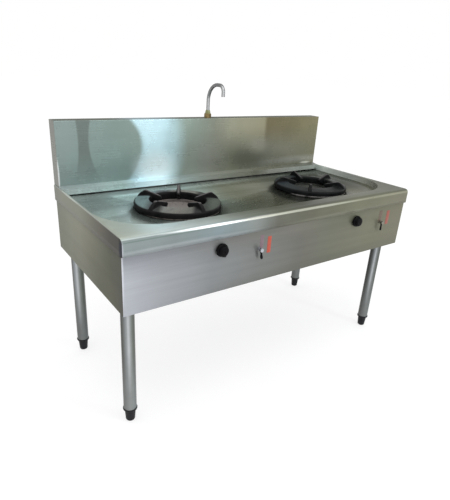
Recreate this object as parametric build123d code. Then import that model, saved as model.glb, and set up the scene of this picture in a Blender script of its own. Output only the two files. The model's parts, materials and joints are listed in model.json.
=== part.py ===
from build123d import *
import os
from math import cos, sin, tan, radians, acos, sqrt

os.makedirs("parts", exist_ok=True)

# Millimetres. X to the right, Y to the back, Z up; origin on the floor under the middle of the rim.

# ---- overall ----
rim_length = 1500
rim_depth = 720
rim_z = 800
splash_top_z = 1070
apron_bottom_z = 515
sheet = 1.5

# ---- top pan ----
lip_height = 66
deck_drop = 32
front_band = 64
side_band = 8
front_edge_radius = 18
front_corner_radius = 20
side_edge_radius = 3
recess_front_radius = 230
recess_rear_radius = 6
recess_from_back = 60
channel_width = 34

# ---- panels under the rim ----
front_overhang = 10
side_overhang = 5
panel_return = 15

# ---- splash and ledge ----
splash_inset = 4
splash_depth = 66
splash_flange = 12
splash_foot_flange = 22
splash_edge_radius = 2.5
ledge_rise = 6
ledge_run = 36
gap_height = 8
ledge_hem = 8

# ---- gutter ----
gutter_inset = 110
gutter_depth = 24
drain_inset = 330
drain_radius = 17.5
drain_length = 104
drain_flange = 46
spigot_radius = 16
spigot_length = 40

# ---- frame ----
rail = 3
rail_height = 50
rail_shelf = 60
rear_shelf = 50.5
cross_shelf = 30
cross_offset = 150
tongue_length = 40
tongue_height = 24

# ---- legs ----
leg_inset_x = 50
leg_inset_y = 85
leg_radius = 25.4
leg_wall = 1.5
leg_end_z = 61
socket_wall = 3
socket_length = 70
socket_plate = 4
socket_plate_width = 85
socket_plate_depth = 90
slip = 0.05
turn_gap = 0.3
collar_radius = 28
collar_height = 8
insert_height = 32
stem_radius = 8
stem_top_z = 98
foot_top_radius = 22
foot_low_radius = 18.5
foot_pad_radius = 12.5

# ---- burners ----
burner_from_front = 307
ring_radius = 177
ring_opening = 112
ring_height = 34
ring_wall = 8
prong_count = 5
prong_peak = 55.5
prong_width = 15
prong_edge = 2.5
left_prong_angle = 59.5
right_prong_angle = 9
deck_hole_radius = 104
well_flange = 7
well_depth = 40
well_taper = 5
cap_radius = 85
cap_height = 12
cap_below_deck = 2
port_radius = 3
outer_port_circle = 68
outer_port_count = 18
inner_port_circle = 44
inner_port_count = 10
head_wall = 6
head_neck_radius = 30
head_seat_z = 704
strap = 4
strap_width = 80
mixer_radius = 20
mixer_reach = 130
bell_radius = 29
bell_length = 24

# ---- controls ----
knob_offset = 15
bell_gap = 12
jet_length = 32
knob_z = 687
knob_radius = 23
knob_front = 26
knob_stand = 4
left_beak = (15, -28)
right_beak = (26, -28)
spindle_radius = 5
valve_radius = 17
valve_length = 36
pilot_offset = 196
pilot_z = 656
pilot_stub_radius = 7
pilot_stub = 12
lever_length = 40
lever_width = 10
lever_hub_radius = 8
lever_thickness = 5
pilot_nut_across = 15
pilot_nut_height = 5
pilot_spindle_radius = 3.5

# ---- gas pipes ----
pipe_radius = 12.5
pipe_bore = 9.5
thread_radius = 13.22
thread_length = 20
manifold_behind_panel = 18.5
manifold_drop = 67
manifold_left_inset = 160
manifold_past_pilot = 41
clip_spacing = 470
clip_width = 24
clip_height = 40
inlet_bend = 30
feed_radius = 6
pilot_tube_radius = 3
pilot_bend = 14
pilot_rise = 24
pilot_gap = 6.5
inlet_reach = 16

# ---- water ----
spout_radius = 8
spout_wall = 1.2
spout_height = 155
spout_wide_bend = 75
spout_tight_bend = 30
spout_reach = 124
spout_drop = 49
shank_radius = 10.48
shank_bore = 6.8
shank_drop = 34
washer_height = 2
nut_across = 30
nut_height = 18
hood_height = 16
hood_radius = 13.5
ferrule_height = 3
water_inlet_drop = 224
water_bend = 22

# ---- screws ----
screw_radius = 2.4
screw_head_radius = 4.6
screw_head = 2.6
cover_screw_count = 5
rear_screw_count = 4
screw_end_gap = 84

# ---- derived ----
half_x = rim_length / 2
half_y = rim_depth / 2
deck_z = rim_z - deck_drop
deck_under = deck_z - sheet
gutter_floor_z = deck_z - gutter_depth
lip_low_z = rim_z - lip_height
top_under = rim_z - sheet
deck_x = half_x - side_band
deck_front_y = -half_y + front_band
panel_front_y = -half_y + front_overhang
panel_x = half_x - side_overhang
panel_rear_y = half_y - side_overhang
inner_x = panel_x - sheet
inner_front_y = panel_front_y + sheet
inner_rear_y = panel_rear_y - sheet
splash_x = half_x - splash_inset
splash_y = half_y - splash_depth
ledge_y = splash_y - ledge_run
recess_rear_y = half_y - recess_from_back
deck_rear_y = recess_rear_y - channel_width
gutter_rear_y = recess_rear_y + 2 * sheet
rail_low_z = deck_under - rail_height
rail_under = deck_under - rail
leg_x = half_x - leg_inset_x
leg_y = half_y - leg_inset_y
burner_x = rim_length / 4
burner_y = -half_y + burner_from_front
gutter_half_length = half_x - gutter_inset
drain_x = half_x - drain_inset
drain_bottom_z = gutter_floor_z - drain_length
knob_xs = {"left": -burner_x + knob_offset, "right": burner_x + knob_offset}
pilot_xs = {"left": -burner_x + pilot_offset, "right": burner_x + pilot_offset}
manifold_y = inner_front_y + manifold_behind_panel
manifold_z = knob_z - manifold_drop
manifold_left_x = -half_x + manifold_left_inset
manifold_right_x = pilot_xs["right"] + manifold_past_pilot
spout_y = splash_y + splash_depth / 2
spout_crown_z = splash_top_z + spout_height
spout_lip_z = spout_crown_z - spout_drop
spout_tip_y = spout_y - spout_reach
shank_low_z = splash_top_z - shank_drop
water_inlet_z = rim_z - water_inlet_drop
burner_xs = {"left": -burner_x, "right": burner_x}
beaks = {"left": left_beak, "right": right_beak}
prong_angles = {"left": left_prong_angle, "right": right_prong_angle}
spindle_bore = spindle_radius + turn_gap
inlet_end_y = half_y + inlet_reach
corners = [("front_left", -1, -1), ("front_right", 1, -1), ("rear_left", -1, 1), ("rear_right", 1, 1)]


def save(name, *pieces):
    shape = pieces[0] if len(pieces) == 1 else Compound(children=list(pieces))
    export_step(shape, f"parts/{name}.step")


def bar(x0, x1, y0, y1, z0, z1):
    return Pos((x0 + x1) / 2, (y0 + y1) / 2, (z0 + z1) / 2) * Box(x1 - x0, y1 - y0, z1 - z0)


def upright(radius, x, y, z0, z1):
    return Pos(x, y, (z0 + z1) / 2) * Cylinder(radius, z1 - z0)


def along_y(radius, x, z, y0, y1):
    return Pos(x, (y0 + y1) / 2, z) * Rot(90, 0, 0) * Cylinder(radius, y1 - y0)


def along_x(radius, y, z, x0, x1):
    return Pos((x0 + x1) / 2, y, z) * Rot(0, 90, 0) * Cylinder(radius, x1 - x0)


def hexagon_up(across, x, y, z0, z1):
    face = RegularPolygon(across / 2, 6, major_radius=False)
    return Pos(x, y, z0) * extrude(face, z1 - z0)


def turned(points, x, y, z):
    face = Plane.XZ * make_face(Polyline(*points, close=True))
    return Pos(x, y, z) * revolve(face, Axis.Z)


def profile_along_x(points, x0, x1):
    face = Plane.YZ * make_face(Polyline(*points, close=True))
    return Pos(x0, 0, 0) * extrude(face, x1 - x0)


def bent_tube(points, bend, radius, bore=0):
    # straight runs joined by round bends of one radius
    nodes = [Vector(*p) for p in points]
    edges = []
    start = nodes[0]
    for before, corner, after in zip(nodes, nodes[1:], nodes[2:]):
        back = (before - corner).normalized()
        ahead = (after - corner).normalized()
        half = acos(back.dot(ahead)) / 2
        reach = bend / tan(half)
        middle = corner + (back + ahead).normalized() * (bend / sin(half) - bend)
        edges.append(Line(start, corner + back * reach))
        edges.append(ThreePointArc(corner + back * reach, middle, corner + ahead * reach))
        start = corner + ahead * reach
    edges.append(Line(start, nodes[-1]))
    path = Wire([piece for edge in edges for piece in edge.edges()])
    section = Circle(radius) - Circle(bore) if bore else Circle(radius)
    plane = Plane(origin=nodes[0], z_dir=(nodes[1] - nodes[0]).normalized())
    return sweep(plane * section, path=path)


# ---- top pan ----
def pan_block(inset, low_z):
    # side profile, plan outline and front outline cut out of each other
    depth = 2 * (half_y - inset)
    length = 2 * (half_x - inset)
    top = rim_z - inset
    side = Pos(0, (low_z + top) / 2) * Rectangle(depth, top - low_z)
    side = fillet(side.vertices().group_by(Axis.Y)[-1].sort_by(Axis.X)[0], front_edge_radius - inset)
    plan = Rectangle(length, depth)
    plan = fillet(plan.vertices().group_by(Axis.Y)[0], front_corner_radius - inset)
    ends = Pos(0, (low_z + top) / 2) * Rectangle(length, top - low_z)
    ends = fillet(ends.vertices().group_by(Axis.Y)[-1], side_edge_radius - inset)
    block = extrude(Plane.YZ * side, rim_length, both=True)
    block &= Pos(0, 0, low_z) * extrude(plan, top - low_z)
    block &= extrude(Plane.XZ * ends, rim_depth, both=True)
    return block


def recess(inset, z0, z1):
    # the sunk deck area, grown by the sheet for its outside
    x = deck_x + inset
    y0 = deck_front_y - inset
    y1 = recess_rear_y + inset
    plan = Pos(0, (y0 + y1) / 2) * Rectangle(2 * x, y1 - y0)
    plan = fillet(plan.vertices().group_by(Axis.Y)[0], recess_front_radius + inset)
    plan = fillet(plan.vertices().group_by(Axis.Y)[-1], recess_rear_radius + inset)
    return Pos(0, 0, z0) * extrude(plan, z1 - z0)


pan = pan_block(0, lip_low_z) - pan_block(sheet, lip_low_z - 10)
pan += recess(sheet, deck_under, top_under)
pan -= recess(0, deck_z, rim_z + 1)
pan -= bar(-gutter_half_length, gutter_half_length, deck_rear_y, recess_rear_y, deck_under - 1, deck_z + 1)
for x in burner_xs.values():
    pan -= upright(deck_hole_radius, x, burner_y, deck_under - 1, deck_z + 1)
pan -= upright(spout_radius + 1, 0, spout_y, top_under - 1, rim_z + 1)
save("top_pan", pan)

# ---- panels ----
front = bar(-panel_x, panel_x, panel_front_y, inner_front_y, apron_bottom_z, top_under)
return_x = inner_x - panel_return
front += bar(-return_x, return_x, inner_front_y, inner_front_y + panel_return,
             apron_bottom_z, apron_bottom_z + sheet)
under_pan = pan_block(sheet, apron_bottom_z)
front &= under_pan
for name, x in knob_xs.items():
    front -= along_y(spindle_bore + 1, x, knob_z, panel_front_y - 1, inner_front_y + 1)
    front -= along_y(pilot_stub_radius + slip, pilot_xs[name], pilot_z,
                     panel_front_y - 1, inner_front_y + 1)
save("front_panel", front)

for name, side in (("left", -1), ("right", 1)):
    wall = bar(inner_x, panel_x, inner_front_y, panel_rear_y, apron_bottom_z, top_under)
    wall += bar(return_x, inner_x, inner_front_y, inner_rear_y, apron_bottom_z, apron_bottom_z + sheet)
    wall &= under_pan
    save(f"{name}_panel", wall if side > 0 else mirror(wall, Plane.YZ))



def spread(count, reach):
    return [reach * (2 * step / (count - 1) - 1) for step in range(count)]


rear_screw_xs = spread(rear_screw_count, inner_x - 1.7 * screw_end_gap)
rear_screw_z = rail_low_z + rail_height / 2
rear = bar(-inner_x, inner_x, inner_rear_y, panel_rear_y, apron_bottom_z, top_under)
rear += bar(-return_x, return_x, inner_rear_y - panel_return, inner_rear_y,
            apron_bottom_z, apron_bottom_z + sheet)
gas_inlet_x = manifold_left_x - inlet_bend - 10
rear -= along_y(pipe_radius + 1, gas_inlet_x, manifold_z, inner_rear_y - 1, panel_rear_y + 1)
rear -= along_y(spout_radius + 1, 0, water_inlet_z, inner_rear_y - 1, panel_rear_y + 1)
for x in rear_screw_xs:
    rear -= along_y(screw_radius, x, rear_screw_z, inner_rear_y - 1, panel_rear_y + 1)
save("rear_panel", rear)

# ---- splash ----
cover_y = half_y - sheet
flange_y = cover_y - sheet
splash_inner_x = splash_x - sheet
splash_under = splash_top_z - sheet
splash = bar(-splash_x, splash_x, splash_y, half_y, rim_z, splash_top_z)
rounded = splash.edges().filter_by(Axis.X).group_by(Axis.Z)[-1].sort_by(Axis.Y)[0:1]
rounded += splash.edges().filter_by(Axis.Z).group_by(Axis.Y)[0]
splash = fillet(rounded, splash_edge_radius)
splash -= bar(-splash_inner_x, splash_inner_x, splash_y + sheet, half_y + 1, rim_z - 1, splash_under)
splash += bar(-splash_inner_x, splash_inner_x, splash_y + sheet, splash_y + splash_foot_flange,
              rim_z, rim_z + sheet)
splash += bar(-splash_inner_x, splash_inner_x, flange_y, cover_y, splash_under - splash_flange, splash_under)
for side in (-1, 1):
    edge = side * (splash_inner_x - splash_flange / 2)
    splash += bar(edge - splash_flange / 2, edge + splash_flange / 2, flange_y, cover_y,
                  rim_z, splash_under - splash_flange)
splash -= upright(shank_radius + slip, 0, spout_y, splash_under - 1, splash_top_z + 1)
cover = bar(-splash_inner_x, splash_inner_x, cover_y, half_y, rim_z, splash_under)
cover_screw_z = splash_under - splash_flange / 2
cover_screws = [(x, cover_screw_z) for x in spread(cover_screw_count, splash_inner_x - screw_end_gap)]
cover_screws += [(side * (splash_inner_x - splash_flange / 2), rim_z + 60) for side in (-1, 1)]
for x, z in cover_screws:
    splash -= along_y(screw_radius, x, z, flange_y - 1, cover_y + 1)
    cover -= along_y(screw_radius, x, z, cover_y - 1, half_y + 1)
save("splash_panel", splash)
save("splash_back", cover)

# ---- ledge at the splash foot ----
slope = ledge_rise / ledge_run
drop = sheet * sqrt(1 + slope ** 2)
lip_z = deck_z + gap_height
ledge_outline = [
    (splash_y, rim_z + ledge_rise),
    (ledge_y, rim_z),
    (ledge_y, lip_z),
    (ledge_y + ledge_hem, lip_z),
    (ledge_y + ledge_hem, lip_z + sheet),
    (ledge_y + sheet, lip_z + sheet),
    (ledge_y + sheet, rim_z + sheet * slope - drop),
    (splash_y, rim_z + ledge_rise - drop),
]
ledge = profile_along_x(ledge_outline, -splash_x, splash_x)
cheek_outline = [
    (splash_y, rim_z + ledge_rise - drop),
    (ledge_y + drop / slope, rim_z),
    (splash_y, rim_z),
]
for side in (-1, 1):
    over = sorted((side * deck_x, side * (splash_x + 1)))
    ledge -= bar(over[0], over[1], ledge_y - 1, splash_y + 1, lip_z - 1, rim_z)
    cheek = sorted((side * splash_inner_x, side * splash_x))
    ledge += profile_along_x(cheek_outline, cheek[0], cheek[1])
save("rear_ledge", ledge)

# ---- gutter ----
gutter_y = (deck_rear_y + recess_rear_y) / 2
gutter_end = gutter_half_length - sheet
gutter_front = bar(-gutter_end, gutter_end, deck_rear_y, deck_rear_y + sheet, gutter_floor_z, deck_z)
gutter_back = bar(-gutter_end, gutter_end, gutter_rear_y - sheet, gutter_rear_y, gutter_floor_z, deck_z)
gutter_pieces = [gutter_front, gutter_back]
for x0, x1 in ((-gutter_end, drain_x - drain_flange / 2), (drain_x + drain_flange / 2, gutter_end)):
    gutter_pieces.append(bar(x0, x1, deck_rear_y + sheet, gutter_rear_y - sheet,
                             gutter_floor_z, gutter_floor_z + sheet))
for side in (-1, 1):
    cap_x = sorted((side * gutter_end, side * gutter_half_length))
    gutter_pieces.append(bar(cap_x[0], cap_x[1], deck_rear_y, gutter_rear_y, gutter_floor_z, deck_under))
save("gutter_trough", *gutter_pieces)

drain = bar(drain_x - drain_flange / 2, drain_x + drain_flange / 2, deck_rear_y + sheet,
            gutter_rear_y - sheet, gutter_floor_z, gutter_floor_z + sheet)
drain += upright(drain_radius, drain_x, gutter_y, drain_bottom_z + spigot_length, gutter_floor_z)
drain += upright(spigot_radius, drain_x, gutter_y, drain_bottom_z, drain_bottom_z + spigot_length)
drain -= upright(spigot_radius - sheet, drain_x, gutter_y, drain_bottom_z - 1, gutter_floor_z + sheet + 1)
save("drain_outlet", drain)

# ---- frame ----
front_rail = bar(-inner_x, inner_x, inner_front_y, inner_front_y + rail, rail_low_z, deck_under)
front_rail += bar(-inner_x, inner_x, inner_front_y + rail, inner_front_y + rail_shelf, rail_under, deck_under)
save("front_rail", front_rail)

rear_rail = bar(-inner_x, inner_x, inner_rear_y - rail, inner_rear_y, rail_low_z, deck_under)
rear_rail += bar(-inner_x, inner_x, inner_rear_y - rear_shelf, inner_rear_y - rail, rail_under, deck_under)
rear_rail -= upright(spout_radius + 1, 0, spout_y, rail_under - 1, deck_under + 1)
for x in rear_screw_xs:
    rear_rail -= along_y(screw_radius, x, rear_screw_z, inner_rear_y - rail - 1, inner_rear_y + 1)
save("rear_rail", rear_rail)


def long_rail(wall0, wall1, shelf0, shelf1, end_y):
    piece = bar(wall0, wall1, inner_front_y + rail, end_y, rail_low_z, rail_under)
    shelf_end = min(end_y, gutter_rear_y)
    return piece + bar(shelf0, shelf1, inner_front_y + rail_shelf, shelf_end, rail_under, deck_under)


side_end_y = inner_rear_y - rail
save("left_rail", long_rail(-inner_x, -inner_x + rail, -inner_x, -inner_x + rail_shelf, side_end_y))
save("right_rail", long_rail(inner_x - rail, inner_x, inner_x - rail_shelf, inner_x, side_end_y))

# each cross rail stops at the gutter; a tongue plate lapped on it passes under the gutter to the rear rail
cross_rails = []
for x in burner_xs.values():
    low = x - cross_offset
    high = x + cross_offset
    cross_rails.append(long_rail(low - rail, low, low - cross_shelf, low, deck_rear_y))
    cross_rails.append(long_rail(high, high + rail, high, high + cross_shelf, deck_rear_y))
    for tongue_x in (low, high - rail):
        cross_rails.append(bar(tongue_x, tongue_x + rail, deck_rear_y - tongue_length, side_end_y,
                               rail_low_z, rail_low_z + tongue_height))
save("cross_rails", *cross_rails)

# ---- legs, sockets, feet ----
plate_under = rail_under - socket_plate
sockets = []
inserts = []
foot_outline = [
    (0, 0),
    (foot_pad_radius, 0),
    (foot_pad_radius + 3.4, 1.6),
    (foot_low_radius - 0.4, 5.5),
    (foot_low_radius, 12),
    (foot_top_radius, leg_end_z - collar_height),
    (stem_radius, leg_end_z - collar_height),
    (stem_radius, stem_top_z),
    (0, stem_top_z),
]
for name, sx, sy in corners:
    x = sx * leg_x
    y = sy * leg_y
    tube = upright(leg_radius, x, y, leg_end_z, plate_under)
    tube -= upright(leg_radius - leg_wall, x, y, leg_end_z - 1, plate_under + 1)
    save(f"leg_tube_{name}", tube)
    plate_x = sorted((sx * (inner_x - rail - socket_plate_width), sx * (inner_x - rail)))
    socket = bar(plate_x[0], plate_x[1], y - socket_plate_depth / 2, y + socket_plate_depth / 2,
                 plate_under, rail_under)
    sleeve = upright(leg_radius + socket_wall + slip, x, y, plate_under - socket_length, plate_under)
    sleeve -= upright(leg_radius + slip, x, y, plate_under - socket_length - 1, plate_under)
    sockets.append(socket + sleeve)
    insert = upright(collar_radius, x, y, leg_end_z - collar_height, leg_end_z)
    insert += upright(leg_radius - leg_wall - slip, x, y, leg_end_z, leg_end_z + insert_height)
    insert -= upright(stem_radius + turn_gap, x, y, 0, leg_end_z + insert_height + 1)
    inserts.append(insert)
    save(f"foot_{name}", turned(foot_outline, x, y, 0))
save("leg_sockets", *sockets)
save("leg_inserts", *inserts)


# ---- burners ----
def prong(angle):
    # a rib that climbs from the rim of the ring, peaks, and leans in over the opening
    outline = [
        (ring_radius - 4, 27),
        (147, 53),
        (142, prong_peak),
        (134, 54.6),
        (75, 37.4),
        (71, 34),
        (72.5, 25),
        (ring_opening, 4),
        (ring_opening + ring_wall - 1, 4),
        (ring_opening + ring_wall - 1, 27),
    ]
    face = Plane.XZ * make_face(Polyline(*outline, close=True))
    rib = extrude(face, prong_width / 2, both=True)
    crown = [edge for edge in rib.edges() if abs(edge.center().Y) > 1 and edge.center().Z > 31
             and edge.center().X < ring_radius - 5]
    return Rot(0, 0, angle) * fillet(crown, prong_edge)


ring_outline = [
    (ring_radius - 3, 0),
    (ring_radius, 3),
    (ring_radius, ring_height - 6),
    (ring_radius - 2, ring_height - 2),
    (ring_radius - 6, ring_height),
    (ring_opening + 5, ring_height - 2),
    (ring_opening, ring_height - 7),
    (ring_opening, 3),
    (ring_opening + 2, 0),
    (ring_opening + ring_wall, 0),
    (ring_opening + ring_wall + 2, ring_height - ring_wall - 2),
    (ring_radius - ring_wall - 2, ring_height - ring_wall),
    (ring_radius - ring_wall, 0),
]
head_top = deck_z - cap_below_deck - cap_height
head_outline = [
    (head_neck_radius, head_seat_z - 32),
    (head_neck_radius, head_seat_z),
    (head_neck_radius + 12, head_seat_z),
    (cap_radius - 12, head_seat_z + 22),
    (cap_radius - 2, head_top - 12),
    (cap_radius - 2, head_top),
    (cap_radius - 2 - head_wall, head_top),
    (cap_radius - 18, head_seat_z + 30),
    (head_neck_radius, head_seat_z + 10),
    (head_neck_radius - head_wall, head_seat_z),
    (head_neck_radius - head_wall, head_seat_z - 32),
]
well_outline = [
    (deck_hole_radius + well_flange, deck_z),
    (deck_hole_radius + well_flange, deck_z + sheet),
    (deck_hole_radius - sheet - slip, deck_z + sheet),
    (deck_hole_radius - sheet - well_taper, deck_z - well_depth),
    (deck_hole_radius - well_taper, deck_z - well_depth),
    (deck_hole_radius - slip, deck_under),
    (deck_hole_radius - slip, deck_z),
]
bell_y = burner_y - mixer_reach
jet_tip_y = bell_y - bell_length + bell_gap
jet_low_y = jet_tip_y - jet_length
brackets = []
jets = []
for name, x in burner_xs.items():
    ring = turned(ring_outline, 0, 0, 0)
    for step in range(prong_count):
        ring += prong(prong_angles[name] + 360 / prong_count * step)
    save(f"wok_ring_{name}", Pos(x, burner_y, deck_z) * ring)
    save(f"burner_well_{name}", turned(well_outline, x, burner_y, 0))

    cap = upright(cap_radius, x, burner_y, head_top, head_top + cap_height)
    cap = chamfer(cap.edges().group_by(Axis.Z)[-1], 3)
    cap -= upright(cap_radius - 12, x, burner_y, head_top - 1, head_top + 4)
    for radius, count in ((outer_port_circle, outer_port_count), (inner_port_circle, inner_port_count)):
        for step in range(count):
            turn = radians(360 / count * step)
            cap -= upright(port_radius, x + radius * cos(turn), burner_y + radius * sin(turn),
                           head_top, head_top + cap_height + 1)
    save(f"burner_cap_{name}", cap)

    head = turned(head_outline, x, burner_y, 0)
    head += upright(head_neck_radius, x, burner_y, head_seat_z - 46, head_seat_z - 32)
    head += along_y(mixer_radius, x, knob_z, bell_y, burner_y - head_neck_radius + 6)
    flare = Pos(x, bell_y - bell_length / 2, knob_z) * Rot(90, 0, 0)
    head += flare * Cone(mixer_radius, bell_radius, bell_length)
    head -= flare * Cone(mixer_radius - 4, bell_radius - 4, bell_length)
    head -= along_y(mixer_radius - 4, x, knob_z, bell_y, burner_y)
    save(f"burner_head_{name}", head)

    span = cross_offset
    bracket = bar(x - span, x + span, burner_y - strap_width / 2, burner_y + strap_width / 2,
                  head_seat_z - strap, head_seat_z)
    for side in (-1, 1):
        tab = sorted((x + side * span, x + side * (span - strap)))
        bracket += bar(tab[0], tab[1], burner_y - strap_width / 2, burner_y + strap_width / 2,
                       head_seat_z, rail_under - 10)
    bracket -= upright(head_neck_radius + slip, x, burner_y, head_seat_z - strap - 1, head_seat_z + 1)
    bracket -= bar(x - mixer_radius - 2, x + mixer_radius + 2, burner_y - strap_width, burner_y,
                   head_seat_z - strap - 1, head_seat_z + 1)
    brackets.append(bracket)

    jet = along_y(9, x, knob_z, jet_low_y, jet_tip_y - 12)
    jet += Pos(x, jet_tip_y - 6, knob_z) * Rot(90, 0, 0) * Cone(3, 6, 12)
    jet -= along_y(1, x, knob_z, jet_low_y - 1, jet_tip_y + 1)
    jets.append(jet)
save("burner_brackets", *brackets)
save("gas_jets", *jets)

# ---- gas pipes and valves ----
manifold = along_x(pipe_radius, manifold_y, manifold_z, manifold_left_x, manifold_right_x)
bored = along_x(pipe_bore, manifold_y, manifold_z, manifold_left_x - 1, manifold_right_x - 6)
pipe_solid = along_x(pipe_radius, manifold_y, manifold_z, manifold_left_x - 1, manifold_right_x + 1)
tapped = manifold - bored
for name, x in knob_xs.items():
    tapped -= upright(4, x, manifold_y, manifold_z, manifold_z + pipe_radius + 1)
    tapped -= upright(2.5, pilot_xs[name], manifold_y, manifold_z, manifold_z + pipe_radius + 1)
save("gas_manifold", tapped)

clips = []
for x in (-clip_spacing, 0, clip_spacing):
    clip = bar(x - clip_width / 2, x + clip_width / 2, inner_front_y, manifold_y + 4,
               manifold_z - clip_height / 2, manifold_z + clip_height / 2)
    clips.append(clip - pipe_solid)
save("manifold_clips", *clips)

inlet = bent_tube([(manifold_left_x, manifold_y, manifold_z), (gas_inlet_x, manifold_y, manifold_z),
                   (gas_inlet_x, inlet_end_y, manifold_z)], inlet_bend, pipe_radius, pipe_bore)
thread = along_y(thread_radius, gas_inlet_x, manifold_z, inlet_end_y - thread_length, inlet_end_y)
inlet += thread - along_y(pipe_bore, gas_inlet_x, manifold_z, panel_rear_y, inlet_end_y + 1)
save("gas_inlet", inlet)

valve_rear_y = inner_front_y + valve_length
for name, x in knob_xs.items():
    valve = along_y(valve_radius, x, knob_z, inner_front_y, valve_rear_y)
    valve += along_y(11, x, knob_z, valve_rear_y, valve_rear_y + 12)
    valve += upright(10, x, manifold_y, manifold_z, knob_z)
    valve += hexagon_up(24, x, manifold_y, manifold_z + pipe_radius + 6, manifold_z + pipe_radius + 18)
    valve -= pipe_solid
    valve -= upright(4, x, manifold_y, manifold_z, knob_z)
    valve -= along_y(spindle_bore, x, knob_z, inner_front_y - 1, inner_front_y + 26)
    valve -= along_y(4, x, knob_z, inner_front_y, valve_rear_y + 13)
    save(f"main_valve_{name}", valve)

    knob_y = panel_front_y - knob_stand
    knob_face_y = panel_front_y - knob_front
    stem = along_y(spindle_radius, x, knob_z, knob_face_y + 8, inner_front_y + 24)
    save(f"valve_stem_{name}", stem)

    beak_x, beak_z = beaks[name]
    reach = sqrt(beak_x ** 2 + beak_z ** 2) - 4
    aim = Vector(beak_x, beak_z).normalized()
    side = Vector(-aim.Y, aim.X)
    wing = knob_radius * 0.92
    beak = [aim * 4 + side * wing, aim * reach + side * 4, aim * (reach + 4), aim * reach - side * 4,
            aim * 4 - side * wing]
    skirt = Circle(knob_radius) + make_face(Polyline(*[(p.X, p.Y) for p in beak], close=True))
    facing = Plane(origin=(x, knob_y, knob_z), x_dir=(1, 0, 0), z_dir=(0, -1, 0))
    knob = extrude(facing * skirt, 8)
    knob = chamfer(knob.edges().group_by(Axis.Y)[0], 1.2)
    grip_y = knob_y - 8
    grip = Pos(x, (grip_y + knob_face_y) / 2, knob_z) * Rot(90, 0, 0)
    dome = grip * Cone(knob_radius - 3, knob_radius - 7, grip_y - knob_face_y)
    dome = fillet(dome.edges().group_by(Axis.Y)[0], 3)
    knob += dome
    knob -= along_y(spindle_radius, x, knob_z, knob_face_y + 8, knob_y + 1)
    save(f"knob_{name}", knob)

    burner = burner_xs[name]
    feed_start = valve_rear_y + 12
    feed_path = Spline((x, feed_start, knob_z), (burner, jet_low_y, knob_z), tangents=[(0, 1, 0), (0, 1, 0)])
    feed_plane = Plane(origin=(x, feed_start, knob_z), z_dir=(0, 1, 0))
    save(f"feed_pipe_{name}", sweep(feed_plane * (Circle(feed_radius) - Circle(feed_radius - 1)), path=feed_path))

    # pilot valve, its stem and lever
    px = pilot_xs[name]
    stub_y = panel_front_y - pilot_stub
    body = along_y(10, px, pilot_z, inner_front_y, manifold_y + 10)
    body += along_y(pilot_stub_radius, px, pilot_z, stub_y, inner_front_y)
    body += upright(6, px, manifold_y, manifold_z, pilot_z)
    body += along_y(5, px, pilot_z, manifold_y + 10, manifold_y + 18)
    body -= pipe_solid
    body -= along_y(pilot_spindle_radius + turn_gap, px, pilot_z, stub_y - 1, inner_front_y + 14)
    save(f"pilot_valve_{name}", body)

    nut_y = stub_y - lever_thickness
    spindle = along_y(pilot_spindle_radius, px, pilot_z, nut_y, inner_front_y + 13)
    nut_face = Plane(origin=(px, nut_y, pilot_z), z_dir=(0, -1, 0))
    nut = nut_face * RegularPolygon(pilot_nut_across / 2, 6, major_radius=False)
    spindle += extrude(nut, pilot_nut_height)
    save(f"pilot_stem_{name}", spindle)

    hub = along_y(lever_hub_radius, px, pilot_z, nut_y, stub_y)
    arm_low = pilot_z - lever_length
    arm = bar(px - lever_width / 2, px + lever_width / 2, nut_y, stub_y, arm_low, pilot_z)
    arm = fillet(arm.edges().filter_by(Axis.Y).group_by(Axis.Z)[0], 4)
    lever = hub + arm
    lever -= along_y(pilot_spindle_radius, px, pilot_z, nut_y - 1, stub_y + 1)
    save(f"pilot_lever_{name}", lever)

    turn = radians(-50)
    tip_x = burner + (cap_radius + pilot_gap) * cos(turn)
    tip_y = burner_y + (cap_radius + pilot_gap) * sin(turn)
    pilot_end = manifold_y + 18
    pilot_run = (tip_y - pilot_end) / 3
    low_z = pilot_z + pilot_rise
    pilot = bent_tube([(px, pilot_end, pilot_z), (px, pilot_end + pilot_run, pilot_z),
                       (tip_x, tip_y - pilot_run, low_z), (tip_x, tip_y, low_z + pilot_bend / 2),
                       (tip_x, tip_y, deck_z - 6)], pilot_bend, pilot_tube_radius)
    save(f"pilot_tube_{name}", pilot)

# ---- water ----
washer_top = splash_top_z + washer_height
nut_top_z = washer_top + nut_height
hood_top_z = nut_top_z + hood_height
ferrule_z = nut_top_z - 10
shank = upright(shank_radius, 0, spout_y, shank_low_z, ferrule_z)
shank += upright(nut_across / 2 + 1, 0, spout_y, splash_top_z, washer_top)
shank += hexagon_up(27, 0, spout_y, splash_under - 8, splash_under)
shank -= upright(shank_bore, 0, spout_y, shank_low_z - 1, ferrule_z + 1)
save("faucet_shank", shank)

hood = Pos(0, spout_y, (nut_top_z + hood_top_z) / 2) * Cone(hood_radius, spout_radius + 2, hood_height)
nut = hexagon_up(nut_across, 0, spout_y, washer_top, nut_top_z)
crown = Pos(0, spout_y, (washer_top + nut_top_z) / 2)
nut &= crown * chamfer(Cylinder(nut_across * 0.58, nut_height).edges(), 2)
nut += hood
nut -= upright(shank_radius + slip, 0, spout_y, washer_top - 1, nut_top_z - 4)
nut -= upright(spout_radius + turn_gap, 0, spout_y, nut_top_z - 5, hood_top_z + 1)
save("union_nut", nut)

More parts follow.
